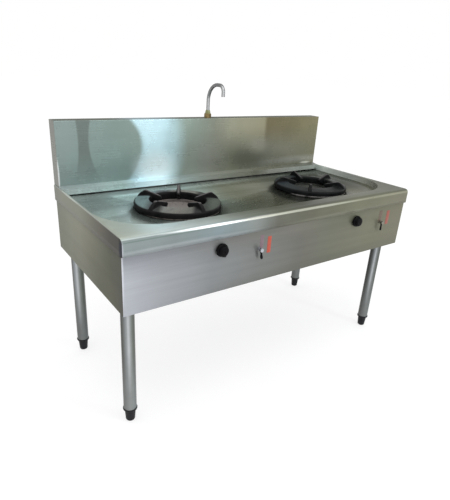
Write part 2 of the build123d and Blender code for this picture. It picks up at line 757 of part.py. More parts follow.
spout_face = Plane(origin=(0, spout_y, ferrule_z)) * (Circle(spout_radius) - Circle(spout_radius - spout_wall))
wide_low_z = spout_crown_z - spout_wide_bend
tight_low_z = spout_crown_z - spout_tight_bend
wide_y = spout_y - spout_wide_bend
tight_y = spout_tip_y + spout_tight_bend
half_turn = sqrt(0.5)
spout_path = Wire([
    Line((0, spout_y, ferrule_z), (0, spout_y, wide_low_z)).edge(),
    ThreePointArc((0, spout_y, wide_low_z),
                  (0, wide_y + spout_wide_bend * half_turn, wide_low_z + spout_wide_bend * half_turn),
                  (0, wide_y, spout_crown_z)).edge(),
    Line((0, wide_y, spout_crown_z), (0, tight_y, spout_crown_z)).edge(),
    ThreePointArc((0, tight_y, spout_crown_z),
                  (0, tight_y - spout_tight_bend * half_turn, tight_low_z + spout_tight_bend * half_turn),
                  (0, spout_tip_y, tight_low_z)).edge(),
    Line((0, spout_tip_y, tight_low_z), (0, spout_tip_y, spout_lip_z)).edge(),
])
spout = sweep(spout_face, path=spout_path)
ferrule_top_z = ferrule_z + ferrule_height
ferrule = upright(shank_radius - 0.4, 0, spout_y, ferrule_z, ferrule_top_z)
spout += ferrule - upright(spout_radius - spout_wall, 0, spout_y, ferrule_z - 1, ferrule_top_z + 1)
save("spout", spout)

water = bent_tube([(0, spout_y, shank_low_z), (0, spout_y, water_inlet_z), (0, inlet_end_y, water_inlet_z)],
                  water_bend, spout_radius, spout_radius - spout_wall)
nipple = along_y(shank_radius, 0, water_inlet_z, panel_rear_y + 3, inlet_end_y)
water += nipple - along_y(spout_radius - spout_wall, 0, water_inlet_z, panel_rear_y, inlet_end_y + 1)
save("water_pipe", water)

# ---- screws ----
screws = []
for x, z in cover_screws:
    screw = along_y(screw_head_radius, x, z, half_y, half_y + screw_head)
    screws.append(screw + along_y(screw_radius, x, z, flange_y - 3, half_y))
for x in rear_screw_xs:
    screw = along_y(screw_head_radius, x, rear_screw_z, panel_rear_y, panel_rear_y + screw_head)
    screws.append(screw + along_y(screw_radius, x, rear_screw_z, inner_rear_y - rail - 3, panel_rear_y))
save("panel_screws", *screws)
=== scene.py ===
import bpy
import bmesh
import json
from math import sin, cos, pi, radians, atan2
from mathutils import Vector, Matrix


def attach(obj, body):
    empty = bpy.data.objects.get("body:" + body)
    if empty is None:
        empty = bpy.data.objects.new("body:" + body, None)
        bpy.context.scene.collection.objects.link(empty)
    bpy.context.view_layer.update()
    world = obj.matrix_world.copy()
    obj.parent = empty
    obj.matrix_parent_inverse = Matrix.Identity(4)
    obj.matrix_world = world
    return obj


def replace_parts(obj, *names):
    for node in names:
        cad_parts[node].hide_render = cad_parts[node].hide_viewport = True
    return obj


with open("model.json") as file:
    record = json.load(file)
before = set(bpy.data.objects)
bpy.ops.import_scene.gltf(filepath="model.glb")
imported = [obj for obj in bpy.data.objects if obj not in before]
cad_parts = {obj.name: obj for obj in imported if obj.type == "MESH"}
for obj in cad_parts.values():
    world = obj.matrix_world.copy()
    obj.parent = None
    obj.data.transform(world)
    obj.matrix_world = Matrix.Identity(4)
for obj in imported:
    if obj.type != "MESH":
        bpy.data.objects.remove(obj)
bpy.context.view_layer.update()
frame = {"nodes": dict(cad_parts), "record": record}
nodes = frame["nodes"]
print("frame loaded:", len(nodes), "nodes")

mainBody = "frame"
burnerX = {"left": -0.375, "right": 0.375}


# mesh makers shared by all pieces
def newObject(name, data):
    obj = bpy.data.objects.new(name, data)
    bpy.context.scene.collection.objects.link(obj)
    return obj


def newMesh(name, bm):
    mesh = bpy.data.meshes.new(name)
    bm.to_mesh(mesh)
    bm.free()
    return mesh


def fromBmesh(name, bm, material, body):
    bmesh.ops.recalc_face_normals(bm, faces=bm.faces[:])
    mesh = newMesh(name, bm)
    obj = newObject(name, mesh)
    mesh.shade_smooth()
    mesh.materials.append(material)
    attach(obj, body)
    return obj


def sharpByAngle(obj, degrees):
    obj.data.set_sharp_from_angle(angle=radians(degrees))


def roundEdges(obj, width, segments, degrees):
    soft = obj.modifiers.new("edge", "BEVEL")
    soft.width = width
    soft.segments = segments
    soft.limit_method = "ANGLE"
    soft.angle_limit = radians(degrees)


def circle(steps):
    return [(cos(2 * pi * k / steps), sin(2 * pi * k / steps)) for k in range(steps)]


def quarter(steps):
    return [pi / 2 * k / steps for k in range(steps + 1)]


def skin(bm, rows, closed=False):
    # quads between neighbouring closed rows of equal length
    pairs = list(zip(rows, rows[1:])) + ([(rows[-1], rows[0])] if closed else [])
    for low, high in pairs:
        for k in range(len(low)):
            n = (k + 1) % len(low)
            bm.faces.new((low[k], low[n], high[n], high[k]))


# an outline that starts nearer to its axis than this is a solid one
solidBelow = 0.002


def lathe(name, outline, centre, material, body, steps=64, angle=34):
    # closed outline of (radius, height) pairs turned round an upright axis
    bm = bmesh.new()
    rows = [[bm.verts.new((centre[0] + radius * x, centre[1] + radius * y, height)) for x, y in circle(steps)]
            for radius, height in outline]
    hollow = outline[0][0] > solidBelow
    skin(bm, rows, closed=hollow)
    if not hollow:
        bm.faces.new(rows[0])
        bm.faces.new(rows[-1])
    obj = fromBmesh(name, bm, material, body)
    sharpByAngle(obj, angle)
    return obj


def roundedBar(bm, low, high, radius, segments=3):
    made = bmesh.ops.create_cube(bm, size=1.0)["verts"]
    for v in made:
        v.co = Vector([low[i] + (high[i] - low[i]) * (v.co[i] + 0.5) for i in range(3)])
    edges = list({e for v in made for e in v.link_edges})
    bmesh.ops.bevel(bm, geom=edges, offset=radius, segments=segments, affect="EDGES", profile=0.5)


# shader makers; a noise is used over its middle part, worn edges show where the pointiness is high
noiseSpan = (0.3, 0.7)
edgeSpan = (0.53, 0.62)
mottling = {"low": 0.32, "high": 0.68}


def shade(red, green, blue):
    # screen colour, 0 to 255, turned into the shader's linear colour
    return tuple(v / 255 / 12.92 if v < 10 else ((v / 255 + 0.055) / 1.055) ** 2.4 for v in (red, green, blue))


def grey(value):
    return (value, value, value)


def newFinish(name):
    material = bpy.data.materials.new(name)
    material.use_nodes = True
    tree = material.node_tree
    return material, tree, tree.nodes["Principled BSDF"]


def feed(tree, node, inputs):
    # an input takes a number, a colour or another node's output
    for key, value in inputs.items():
        socket = node.inputs[key]
        if isinstance(value, bpy.types.NodeSocket):
            tree.links.new(value, socket)
        elif isinstance(value, tuple) and len(value) == 3 and socket.type == "RGBA":
            socket.default_value = (*value, 1)
        else:
            socket.default_value = value


def addNode(tree, kind, inputs=None, **values):
    node = tree.nodes.new(kind)
    for key, value in values.items():
        setattr(node, key, value)
    feed(tree, node, inputs or {})
    return node


def sums(tree, operation, *values):
    return addNode(tree, "ShaderNodeMath", dict(enumerate(values)), operation=operation).outputs[0]


def times(tree, product, *others):
    for other in others:
        product = sums(tree, "MULTIPLY", product, other)
    return product


def step(tree, value, low, high):
    # soft step: 0 below low, 1 above high (also works falling)
    return addNode(tree, "ShaderNodeMapRange", {0: value, 1: low, 2: high},
                   interpolation_type="SMOOTHSTEP").outputs[0]


def blend(tree, kind, amount, first, second):
    return addNode(tree, "ShaderNodeMix", {0: amount, 6: first, 7: second}, data_type="RGBA",
                   blend_type=kind).outputs[2]


def ramp(tree, stops, source, smooth=True):
    node = addNode(tree, "ShaderNodeValToRGB", {0: source})
    node.color_ramp.interpolation = "EASE" if smooth else "LINEAR"
    band = node.color_ramp.elements
    while len(band) < len(stops):
        band.new(0.5)
    for element, (place, colour) in zip(band, stops):
        element.position = place
        element.color = (*colour, 1)
    return node.outputs[0]


def toneAlong(tree, places, source):
    # places: metres along one axis, or degrees round a tube, each with its screen colour
    low, high = places[0][0], places[-1][0]
    share = addNode(tree, "ShaderNodeMapRange", {0: source, 1: low, 2: high}).outputs[0]
    return ramp(tree, [((m - low) / (high - low), shade(*c)) for m, *c in places], share, smooth=False)


def noise(tree, coords, stretch, detail=4.0, rough=0.55):
    place = addNode(tree, "ShaderNodeMapping", {"Vector": coords, "Scale": stretch})
    return addNode(tree, "ShaderNodeTexNoise", {"Vector": place.outputs[0], "Scale": 1.0, "Detail": detail,
                                                "Roughness": rough}).outputs["Fac"]


def overNoise(tree, source, first, last):
    # from the first colour to the last one over the middle of a noise
    return ramp(tree, ((noiseSpan[0], first), (noiseSpan[1], last)), source)


def placeParts(tree):
    coords = addNode(tree, "ShaderNodeTexCoord").outputs["Object"]
    return coords, addNode(tree, "ShaderNodeSeparateXYZ", {0: coords}).outputs


def surface(tree, name):
    return addNode(tree, "ShaderNodeNewGeometry").outputs[name]


def addLightPatch(tree, coords, tone, lightPatch):
    # a soft ellipsoid of painted light or shade in another colour: place, half sizes, softness of its edge, colour,
    # share
    place, size, soft, colour, share = lightPatch
    away = addNode(tree, "ShaderNodeMapping", {
        "Vector": coords, "Scale": [1 / s for s in size], "Location": [-a / s for a, s in zip(place, size)]},
        vector_type="POINT")
    far = addNode(tree, "ShaderNodeVectorMath", {0: away.outputs[0]}, operation="LENGTH").outputs["Value"]
    return blend(tree, "MIX", times(tree, step(tree, far, 1 + soft, 1 - soft), share), tone, shade(*colour))


def addReflectionStreak(tree, xyz, tone, reflectionStreak):
    # an upright streak of painted reflection; each edge has a place, a bow with height and a softness
    rise = sums(tree, "SUBTRACT", xyz[2], reflectionStreak["middle"])
    square = times(tree, rise, rise)
    share = reflectionStreak.get("share", 1.0)
    for side, sign in (("left", 1), ("right", -1)):
        edge, bow, soft = reflectionStreak[side]
        off = sums(tree, "SUBTRACT", xyz[0], sums(tree, "MULTIPLY_ADD", square, bow, edge))
        share = times(tree, step(tree, off, -soft * sign, soft * sign), share)
    if "foot" in reflectionStreak:
        share = times(tree, share, step(tree, xyz[2], *reflectionStreak["foot"]))
    return blend(tree, "MIX", share, tone, shade(*reflectionStreak["tone"]))


def mottle(tree, tone, layers):
    # each layer darkens and lightens the tone by its depth, where its noise is low or high
    for source, depth in layers:
        low, high = (mottling["low"], grey(1 - depth)), (mottling["high"], grey(1 + depth / 2))
        tone = blend(tree, "MULTIPLY", 1.0, tone, ramp(tree, (low, high), source))
    return tone


def wearEdges(tree, tone, look):
    edge = ramp(tree, ((edgeSpan[0], grey(0.0)), (edgeSpan[1], grey(look["wear"]))), surface(tree, "Pointiness"))
    return blend(tree, "MIX", edge, tone, shade(*look["worn"]))


def setSurface(tree, shader, look, tone, roughness, bumps):
    # bumps: heights with their strength and depth, one on top of the other
    feed(tree, shader, {"Base Color": tone, "Roughness": roughness, "Metallic": look["metal"],
                        "Specular IOR Level": look["gloss"], "Specular Tint": grey(look["edgeTint"])})
    under = {}
    for height, strength, depth in bumps:
        node = addNode(tree, "ShaderNodeBump", {"Height": height, "Strength": strength, "Distance": depth, **under})
        under = {"Normal": node.outputs[0]}
    feed(tree, shader, under)


# usual values of each kind of finish; a look may give its own
steel = {"axis": 0, "grain": (5, 260, 260), "grainTone": 0.07, "rolledTone": 0.05, "rolledBy": 9,
         "smudgeTone": 0.07, "smudgeScale": 6.0, "coarseFrom": 0.72, "fine": 0.05, "metal": 0.6, "gloss": 0.3,
         "edgeTint": 0.4, "anisotropic": 0.6, "buckle": 0.15, "buckleScale": 2.4, "buckleDeep": 0.012,
         "bump": 0.06, "bumpDeep": 0.0004}


def steelWithPaintedLight(name, look):
    # brushed sheet: painted reflections and shade as tones that drift over the piece, with painted streaks and
    # patches, grain, smudges and a slight buckle
    look = {**steel, **look}
    material, tree, shader = newFinish(name)
    coords, xyz = placeParts(tree)
    along = xyz[look["axis"]]
    # painted reflections: tones along the piece, and upper tones higher up
    tone = toneAlong(tree, look["tones"], along)
    if "upper" in look:
        axis, low, high = look["rise"]
        tone = blend(tree, "MIX", step(tree, xyz[axis], low, high), tone, toneAlong(tree, look["upper"], along))
    # painted reflection streaks
    for reflectionStreak in look.get("reflectionStreaks", ()):
        tone = addReflectionStreak(tree, xyz, tone, reflectionStreak)
    # painted highlights, reflections and shade as soft patches
    for lightPatch in look.get("patches", ()):
        tone = addLightPatch(tree, coords, tone, lightPatch)
    grain = noise(tree, coords, look["grain"], 5.0, 0.7)
    rolled = noise(tree, coords, tuple(v / look["rolledBy"] for v in look["grain"]), 2.0, 0.5)
    smudge = noise(tree, coords, grey(look["smudgeScale"]), 5.0, 0.6)
    tone = mottle(tree, tone, ((grain, look["grainTone"]), (rolled, look["rolledTone"]),
                               (smudge, look["smudgeTone"])))
    smooth, coarse = look["rough"]
    roughness = ramp(tree, ((noiseSpan[0], grey(smooth)), (look["coarseFrom"], grey(coarse))), smudge)
    fine = overNoise(tree, grain, grey(1 - look["fine"]), grey(1 + look["fine"]))
    buckle = noise(tree, coords, grey(look["buckleScale"]), 1.0, 0.4)
    if "dull" in look:
        # no gloss on a top face, so that it stays dark when seen from low down
        look["gloss"] = times(tree, step(tree, xyz[2], *look["dull"]), look["gloss"])
    if "brushed" in look:
        across = addNode(tree, "ShaderNodeVectorMath", {0: surface(tree, "Normal"), 1: look["brushed"]},
                         operation="CROSS_PRODUCT")
        feed(tree, shader, {"Anisotropic": look["anisotropic"], "Tangent": across.outputs[0]})
    setSurface(tree, shader, look, tone, blend(tree, "MULTIPLY", 1.0, roughness, fine),
               ((buckle, look["buckle"], look["buckleDeep"]), (grain, look["bump"], look["bumpDeep"])))
    return material


drawn = {"smudgeScale": 22.0, "smudgeTone": 0.06, "lineTone": 0.05, "metal": 0.6, "gloss": 0.2, "edgeTint": 1.0,
         "bump": 0.04, "bumpDeep": 0.0004}


def tubeWithPaintedLight(name, look):
    # drawn tube: painted highlight and shade lines along it, on an upright one at fixed angles (degrees) from its
    # painted highlight line
    look = {**drawn, **look}
    material, tree, shader = newFinish(name)
    coords, xyz = placeParts(tree)
    wander = noise(tree, coords, look["wander"], 2.0)
    if "aim" in look:
        aim = radians(look["aim"])
        normal = surface(tree, "Normal")
        lit, across = (addNode(tree, "ShaderNodeVectorMath", {0: normal, 1: (cos(way), sin(way), 0)},
                               operation="DOT_PRODUCT").outputs["Value"] for way in (aim, aim + pi / 2))
        turn = sums(tree, "DIVIDE", sums(tree, "ARCTAN2", across, lit), pi / 180)
        turn = sums(tree, "MULTIPLY_ADD", wander, look["wanderDepth"], turn)
        # painted shade: the lower end takes its own darker tones
        tone = blend(tree, "MIX", step(tree, xyz[2], *look["fall"]), toneAlong(tree, look["tones"], turn),
                     toneAlong(tree, look["low"], turn))
    else:
        # painted highlight: bright where the pipe faces the view, darker towards its outline
        facing = addNode(tree, "ShaderNodeLayerWeight").outputs["Facing"]
        shifted = sums(tree, "MULTIPLY_ADD", wander, look["wanderDepth"], facing)
        tone = ramp(tree, [(place, shade(*colour)) for place, *colour in look["tones"]], shifted)
    lines = noise(tree, coords, look["lines"], 4.0, 0.7)
    smudge = noise(tree, coords, grey(look["smudgeScale"]), 5.0, 0.6)
    tone = mottle(tree, tone, ((lines, look["lineTone"]), (smudge, look["smudgeTone"])))
    setSurface(tree, shader, look, tone, overNoise(tree, smudge, *map(grey, look["rough"])),
               ((lines, look["bump"], look["bumpDeep"]),))
    return material


castIron = {"upward": (0.80, 0.98), "blotch": (0.0, 0.50), "ringTop": (0.807, 0.803), "prongTop": (0.804, 0.808),
            "brokenScale": 28.0, "broken": (0.30, 0.56), "speck": ((0.35, grey(0.75)), (0.65, grey(1.15))),
            "wear": 0.3, "metal": 0.0, "edgeTint": 1.0, "swell": (0.2, 0.003), "sandDeep": 0.0008}


def ironWithPaintedLight(name, look):
    # cast iron: sandy skin, a painted dull sheen on upward faces that fades to the front, a painted highlight line
    # along the foot
    look = {**castIron, **look}
    material, tree, shader = newFinish(name)
    coords, xyz = placeParts(tree)
    patches = noise(tree, coords, grey(look["patchScale"]), 5.0, 0.6)
    sand = noise(tree, coords, grey(look["sandScale"]), 3.0, 0.6)
    tone = overNoise(tree, patches, shade(*look["dark"]), shade(*look["light"]))
    if "sheen" in look:
        facing = addNode(tree, "ShaderNodeSeparateXYZ", {0: surface(tree, "Normal")}).outputs
        upward = step(tree, facing[2], *look["upward"])
        share = times(tree, upward, step(tree, xyz[2], *look["ringTop"]), step(tree, patches, *look["blotch"]),
                      step(tree, xyz[1], *look["sheenFade"]))
        # the painted sheen's tones run across the ring, from front left to rear right
        wayX, wayY = look["sheenWay"]
        across = sums(tree, "MULTIPLY_ADD", xyz[0], wayX, times(tree, xyz[1], wayY))
        tone = blend(tree, "MIX", share, tone, toneAlong(tree, look["sheen"], across))
        # painted highlight line along the top of each prong
        crest = times(tree, upward, step(tree, xyz[2], *look["prongTop"]), look["crestShare"])
        tone = blend(tree, "MIX", crest, tone, shade(*look["crest"]))
    # painted highlight line along the foot, on the front of the ring
    if "foot" in look:
        low, high = look["foot"]
        broken = step(tree, noise(tree, coords, grey(look["brokenScale"]), 3.0), *look["broken"])
        footHighlight = times(tree, step(tree, xyz[2], high, low), broken, step(tree, xyz[1], *look["footReach"]))
        tone = blend(tree, "MIX", footHighlight, tone, shade(*look["footTone"]))
    tone = blend(tree, "MULTIPLY", 1.0, tone, ramp(tree, look["speck"], sand))
    setSurface(tree, shader, look, wearEdges(tree, tone, look), overNoise(tree, patches, *map(grey, look["rough"])),
               ((patches, *look["swell"]), (sand, look["bump"], look["sandDeep"])))
    return material


plain = {"wear": 0.25, "metal": 0.0, "gloss": 0.3, "edgeTint": 1.0, "bump": 0.1, "bumpDeep": 0.0006}


def plainFinish(name, look):
    # moulded or machined small pieces: two tones, fine bump and worn edges
    look = {**plain, **look}
    material, tree, shader = newFinish(name)
    coords, xyz = placeParts(tree)
    mottled = noise(tree, coords, grey(look["scale"]), 4.0, 0.6)
    tone = overNoise(tree, mottled, shade(*look["dark"]), shade(*look["light"]))
    if "lift" in look:
        low, high, colour = look["lift"]
        tone = blend(tree, "MIX", step(tree, xyz[2], low, high), tone, shade(*colour))
    setSurface(tree, shader, look, wearEdges(tree, tone, look), overNoise(tree, mottled, *map(grey, look["rough"])),
               ((mottled, look["bump"], look["bumpDeep"]),))
    return material


# sheet steel, one material for each kind of sheet, whose tones, streaks and patches are painted reflections,
# highlights and shade; each tone has its place and its screen colour
finishes = {}
# painted reflections on the splash: tones and upper tones copy reflected bands
finishes["splash"] = steelWithPaintedLight("splashSteel", {
    "tones": ((-0.75, 142, 157, 154), (-0.5, 146, 168, 163), (-0.1, 137, 146, 137), (0.0, 136, 139, 130),
        (0.14, 126, 130, 114), (0.34, 124, 126, 114), (0.55, 124, 124, 108), (0.75, 118, 117, 96)),
    "upper": ((-0.75, 142, 156, 153), (-0.5, 138, 156, 150), (-0.12, 145, 160, 150), (0.02, 137, 141, 128),
        (0.12, 154, 154, 135), (0.34, 150, 146, 122), (0.36, 114, 107, 82), (0.55, 122, 117, 90),
        (0.75, 131, 127, 101)),
    "rise": (2, 0.88, 1.04),
    # painted reflections: two bright window streaks and one darker streak at the left
    "reflectionStreaks": (
        {"left": (-0.367, -3.0, 0.014), "right": (-0.176, -1.2, 0.06), "middle": 0.955, "tone": (184, 214, 220)},
        {"left": (-0.35, -3.4, 0.02), "right": (-0.255, 0.9, 0.03), "middle": 0.93, "tone": (206, 238, 246)},
        {"left": (-0.654, -0.77, 0.004), "right": (-0.61, 1.6, 0.004), "middle": 0.985,
         "foot": (0.79, 0.96), "tone": (112, 122, 117), "share": 0.85}),
    # painted reflections and highlights: a bright spot, darker and lighter reflected shapes, light edge lines, and
    # shade on the top face and the left return
    "patches": (
        ((-0.3, 0.294, 0.845), (0.085, 0.1, 0.065), 0.7, (236, 252, 255), 0.9),
        ((0.235, 0.294, 0.865), (0.1, 0.1, 0.045), 0.7, (96, 98, 84), 0.6),
        ((0.31, 0.294, 0.925), (0.05, 0.1, 0.035), 0.8, (150, 150, 136), 0.7),
        ((0.6, 0.294, 0.835), (0.2, 0.1, 0.018), 0.7, (156, 158, 150), 0.6),
        ((0.675, 0.294, 0.812), (0.035, 0.1, 0.005), 0.6, (215, 216, 205), 1),
        ((-0.745, 0.294, 0.85), (0.005, 0.01, 0.06), 0.5, (238, 242, 242), 1),
        ((0, 0.33, 1.0715), (1.6, 0.034, 0.003), 0.2, (98, 101, 92), 1),
        ((-0.33, 0.33, 1.0715), (0.14, 0.034, 0.003), 0.5, (150, 168, 174), 1),
        ((0.8, 0.33, 1.0715), (0.25, 0.034, 0.003), 0.6, (118, 118, 112), 1),
        ((-0.75, 0.334, 0.935), (0.01, 0.046, 0.8), 0.15, (130, 131, 124), 1)),
    "grain": (5, 300, 300), "grainTone": 0.014, "rolledTone": 0.02, "bump": 0.008, "buckle": 0.08,
    "rough": (0.24, 0.32), "metal": 0.35, "dull": (1.0699, 1.069)})
# painted reflections on the deck: tones copy the reflected splash
finishes["deck"] = steelWithPaintedLight("deckSteel", {
    "tones": ((-0.75, 180, 193, 186), (-0.5, 180, 194, 188), (-0.36, 146, 158, 150), (-0.18, 108, 116, 103),
        (0.0, 96, 99, 83), (0.2, 98, 100, 88), (0.45, 108, 108, 92), (0.75, 108, 108, 94)),
    "upper": ((-0.75, 146, 160, 156), (-0.48, 150, 172, 168), (-0.2, 142, 158, 152), (-0.02, 118, 123, 108),
        (0.15, 114, 116, 102), (0.45, 84, 90, 82), (0.75, 80, 85, 76)),
    "rise": (1, -0.2, 0.1),
    # painted reflections and shade: a dark ring round each wok ring, and light and dark reflected spots
    "patches": (
        ((-0.5, 0.215, 0.768), (0.07, 0.045, 0.02), 0.8, (176, 204, 204), 1),
        ((0.56, 0.215, 0.768), (0.14, 0.035, 0.02), 0.6, (112, 120, 112), 0.8),
        ((-0.3, 0.235, 0.768), (0.5, 0.05, 0.02), 0.5, (196, 210, 204), 0.36),
        ((-0.395, -0.1, 0.768), (0.195, 0.195, 0.02), 0.12, (38, 46, 42), 0.8),
        ((0.325, -0.105, 0.768), (0.196, 0.196, 0.02), 0.12, (38, 42, 38), 0.85),
        ((-0.68, 0.0, 0.768), (0.1, 0.14, 0.02), 0.6, (112, 124, 120), 0.45),
        ((-0.04, 0.01, 0.768), (0.12, 0.12, 0.02), 0.7, (92, 94, 76), 0.6),
        ((0.64, 0.01, 0.768), (0.09, 0.2, 0.02), 0.6, (58, 62, 56), 0.55),
        ((0.5, 0.215, 0.768), (0.05, 0.03, 0.02), 0.6, (30, 36, 30), 0.8),
        ((-0.47, -0.25, 0.768), (0.12, 0.04, 0.02), 0.7, (206, 216, 210), 0.7)),
    "grainTone": 0.03, "bump": 0.01, "rough": (0.22, 0.3), "metal": 0.3,
    "smudgeTone": 0.05, "buckle": 0.06})
# painted reflections on the front lip and its rounded edge: tones by place and height
finishes["band"] = steelWithPaintedLight("frontBandSteel", {
    "tones": ((-0.75, 148, 158, 159), (-0.55, 138, 147, 147), (-0.38, 136, 150, 154), (-0.2, 134, 139, 136),
        (-0.1, 104, 104, 95), (0.12, 107, 107, 92), (0.4, 120, 120, 101), (0.75, 127, 125, 107)),
    "upper": ((-0.75, 166, 172, 160), (-0.6, 180, 194, 192), (-0.42, 160, 170, 167), (-0.25, 112, 118, 107),
        (-0.08, 88, 91, 77), (0.1, 82, 84, 75), (0.24, 98, 99, 88), (0.4, 103, 104, 86), (0.75, 94, 97, 82)),
    "rise": (2, 0.792, 0.7985),
    # painted highlights and shade: the rounded edge's bright highlight line, a darker line under it, lighter and
    # darker reflections on the lip, a light line at the left corner
    "patches": (
        ((-0.42, -0.36, 0.7893), (0.17, 0.2, 0.0045), 0.35, (248, 253, 252), 1),
        ((-0.75, -0.36, 0.7853), (0.24, 0.2, 0.0052), 0.4, (138, 150, 148), 0.8),
        ((-0.75, -0.36, 0.7922), (0.3, 0.2, 0.0016), 0.5, (196, 208, 204), 0.8),
        ((-0.19, -0.36, 0.7893), (0.09, 0.2, 0.0042), 0.5, (204, 198, 196), 0.9),
        ((0.05, -0.36, 0.7893), (0.34, 0.2, 0.0042), 0.4, (186, 188, 172), 0.9),
        ((-0.6, -0.36, 0.7822), (0.2, 0.2, 0.002), 0.5, (118, 136, 130), 0.8),
        ((-0.55, -0.36, 0.742), (0.3, 0.2, 0.009), 0.5, (178, 184, 188), 0.5),
        ((0.25, -0.36, 0.74), (0.3, 0.2, 0.007), 0.5, (140, 141, 126), 0.5),
        ((-0.7465, -0.362, 0.76), (0.0045, 0.01, 0.028), 0.4, (186, 190, 198), 0.9),
        ((0.6, -0.36, 0.7893), (0.3, 0.2, 0.0042), 0.5, (158, 158, 138), 0.7)),
    "grainTone": 0.04, "bump": 0.02, "rough": (0.28, 0.38), "metal": 0.38,
    "brushed": (1, 0.05, 0.09), "buckle": 0.1})
# painted light and shade on the side lips: top faces lighter than the sides, darker towards the front
finishes["rim"] = steelWithPaintedLight("rimSteel", {
    "axis": 1,
    "tones": ((-0.36, 74, 73, 68), (-0.27, 82, 79, 70), (-0.14, 108, 106, 95), (0.02, 134, 136, 122),
        (0.26, 136, 138, 124), (0.36, 124, 126, 114)),
    "upper": ((-0.36, 164, 168, 158), (0.0, 164, 170, 162), (0.36, 160, 166, 160)),
    "rise": (2, 0.7955, 0.7995),
    # painted shade and highlights: a dark band at the left front corner, and light lines along the side tops
    "patches": (
        ((-0.752, -0.354, 0.76), (0.012, 0.01, 0.03), 0.4, (62, 64, 70), 1),
        ((-0.75, 0.15, 0.8), (0.01, 0.09, 0.004), 0.6, (204, 212, 206), 0.6),
        ((0.75, 0.0, 0.8), (0.01, 0.42, 0.006), 0.3, (138, 141, 132), 0.6)),
    "grain": (260, 5, 260), "grainTone": 0.04, "bump": 0.03, "rough": (0.28, 0.38), "metal": 0.35, "gloss": 0.1,
    "brushed": (0.05, 1, 0.09), "buckle": 0.1})
# painted reflections: the recess wall grows lighter towards the rear and darker again at its end
finishes["wall"] = steelWithPaintedLight("recessWallSteel", {
    "axis": 1,
    "tones": ((-0.3, 146, 148, 134), (-0.2, 150, 152, 142), (-0.1, 184, 187, 176), (0.0, 190, 195, 190),
        (0.1, 210, 215, 210), (0.2, 230, 238, 232), (0.29, 160, 170, 166), (0.36, 160, 170, 166)),
    "grain": (200, 5, 260), "rough": (0.26, 0.36), "metal": 0.4, "buckle": 0.05})
# painted reflections on the front panel: tones across it, lighter at the left
finishes["panel"] = steelWithPaintedLight("panelSteel", {
    "tones": ((-0.75, 184, 187, 194), (-0.6, 160, 163, 168), (-0.4, 135, 137, 139), (-0.2, 124, 126, 124),
        (0.05, 111, 110, 104), (0.25, 114, 115, 102), (0.5, 122, 122, 105), (0.75, 123, 121, 106)),
    "upper": ((-0.75, 153, 156, 163), (-0.5, 133, 135, 137), (-0.3, 118, 118, 115), (0.0, 122, 120, 113),
        (0.3, 111, 113, 98), (0.75, 125, 123, 105)),
    "rise": (2, 0.64, 0.73),
    # painted reflection and highlight: a darker band low on the right, and a light line at the left edge
    "patches": (
        ((0.25, -0.35, 0.51), (0.55, 0.1, 0.035), 0.7, (98, 99, 90), 0.5),
        ((-0.745, -0.35, 0.66), (0.005, 0.02, 0.1), 0.5, (214, 216, 224), 0.9)),
    "grainTone": 0.04, "bump": 0.02, "rough": (0.32, 0.42), "metal": 0.5, "brushed": (1, 0.05, 0.09),
    "smudgeTone": 0.04, "smudgeScale": 4.0})
# painted shade on the side panels: darker towards the front, with a dark line at the front corner
finishes["side"] = steelWithPaintedLight("sideSteel", {
    "axis": 1,
    "tones": ((-0.36, 80, 79, 73), (-0.25, 94, 94, 80), (-0.12, 98, 99, 85), (0.06, 122, 122, 108),
        (0.2, 124, 125, 111), (0.36, 116, 119, 105)),
    "upper": ((-0.36, 84, 86, 76), (-0.25, 90, 92, 78), (-0.1, 118, 118, 103), (0.06, 138, 138, 122),
        (0.18, 138, 139, 124), (0.36, 122, 124, 111)),
    "rise": (2, 0.54, 0.7),
    "patches": (((-0.745, -0.352, 0.62), (0.01, 0.008, 0.13), 0.4, (68, 70, 62), 0.8),),
    "grain": (260, 5, 260), "grainTone": 0.04, "bump": 0.02, "rough": (0.34, 0.44), "metal": 0.3, "gloss": 0.1,
    "brushed": (0.05, 1, 0.09), "smudgeTone": 0.05})
# painted reflections: a bright bluish window reflection along the rear ledge
finishes["ledge"] = steelWithPaintedLight("ledgeSteel", {
    "tones": ((-0.75, 182, 192, 190), (-0.48, 182, 204, 200), (-0.4, 212, 238, 246), (-0.27, 228, 248, 252),
        (-0.19, 158, 172, 170), (0.0, 140, 144, 135), (0.28, 132, 134, 120), (0.38, 170, 172, 162),
        (0.75, 178, 186, 180)),
    "upper": ((-0.75, 168, 180, 178), (-0.48, 188, 210, 208), (-0.38, 212, 240, 249), (-0.27, 216, 238, 244),
        (-0.18, 152, 166, 164), (0.02, 154, 158, 148), (0.35, 132, 134, 118), (0.75, 118, 124, 115)),
    "rise": (2, 0.7985, 0.801),
    "grainTone": 0.04, "bump": 0.03, "rough": (0.24, 0.34), "metal": 0.35, "buckle": 0.05})
# painted reflections: a lighter bluish band on the splash shell
finishes["splashShell"] = steelWithPaintedLight("splashShellSteel", {
    "tones": ((-0.75, 158, 162, 157), (-0.3, 186, 198, 200), (0.1, 152, 152, 142), (0.75, 140, 138, 128)),
    "rough": (0.3, 0.42), "metal": 0.5, "buckle": 0.05})
finishes["mill"] = steelWithPaintedLight("millSteel", {
    "tones": ((-0.75, 152, 153, 150), (0.75, 146, 147, 144)),
    "grain": (40, 40, 60), "rough": (0.38, 0.55), "metal": 0.7, "smudgeTone": 0.16, "buckle": 0.05})
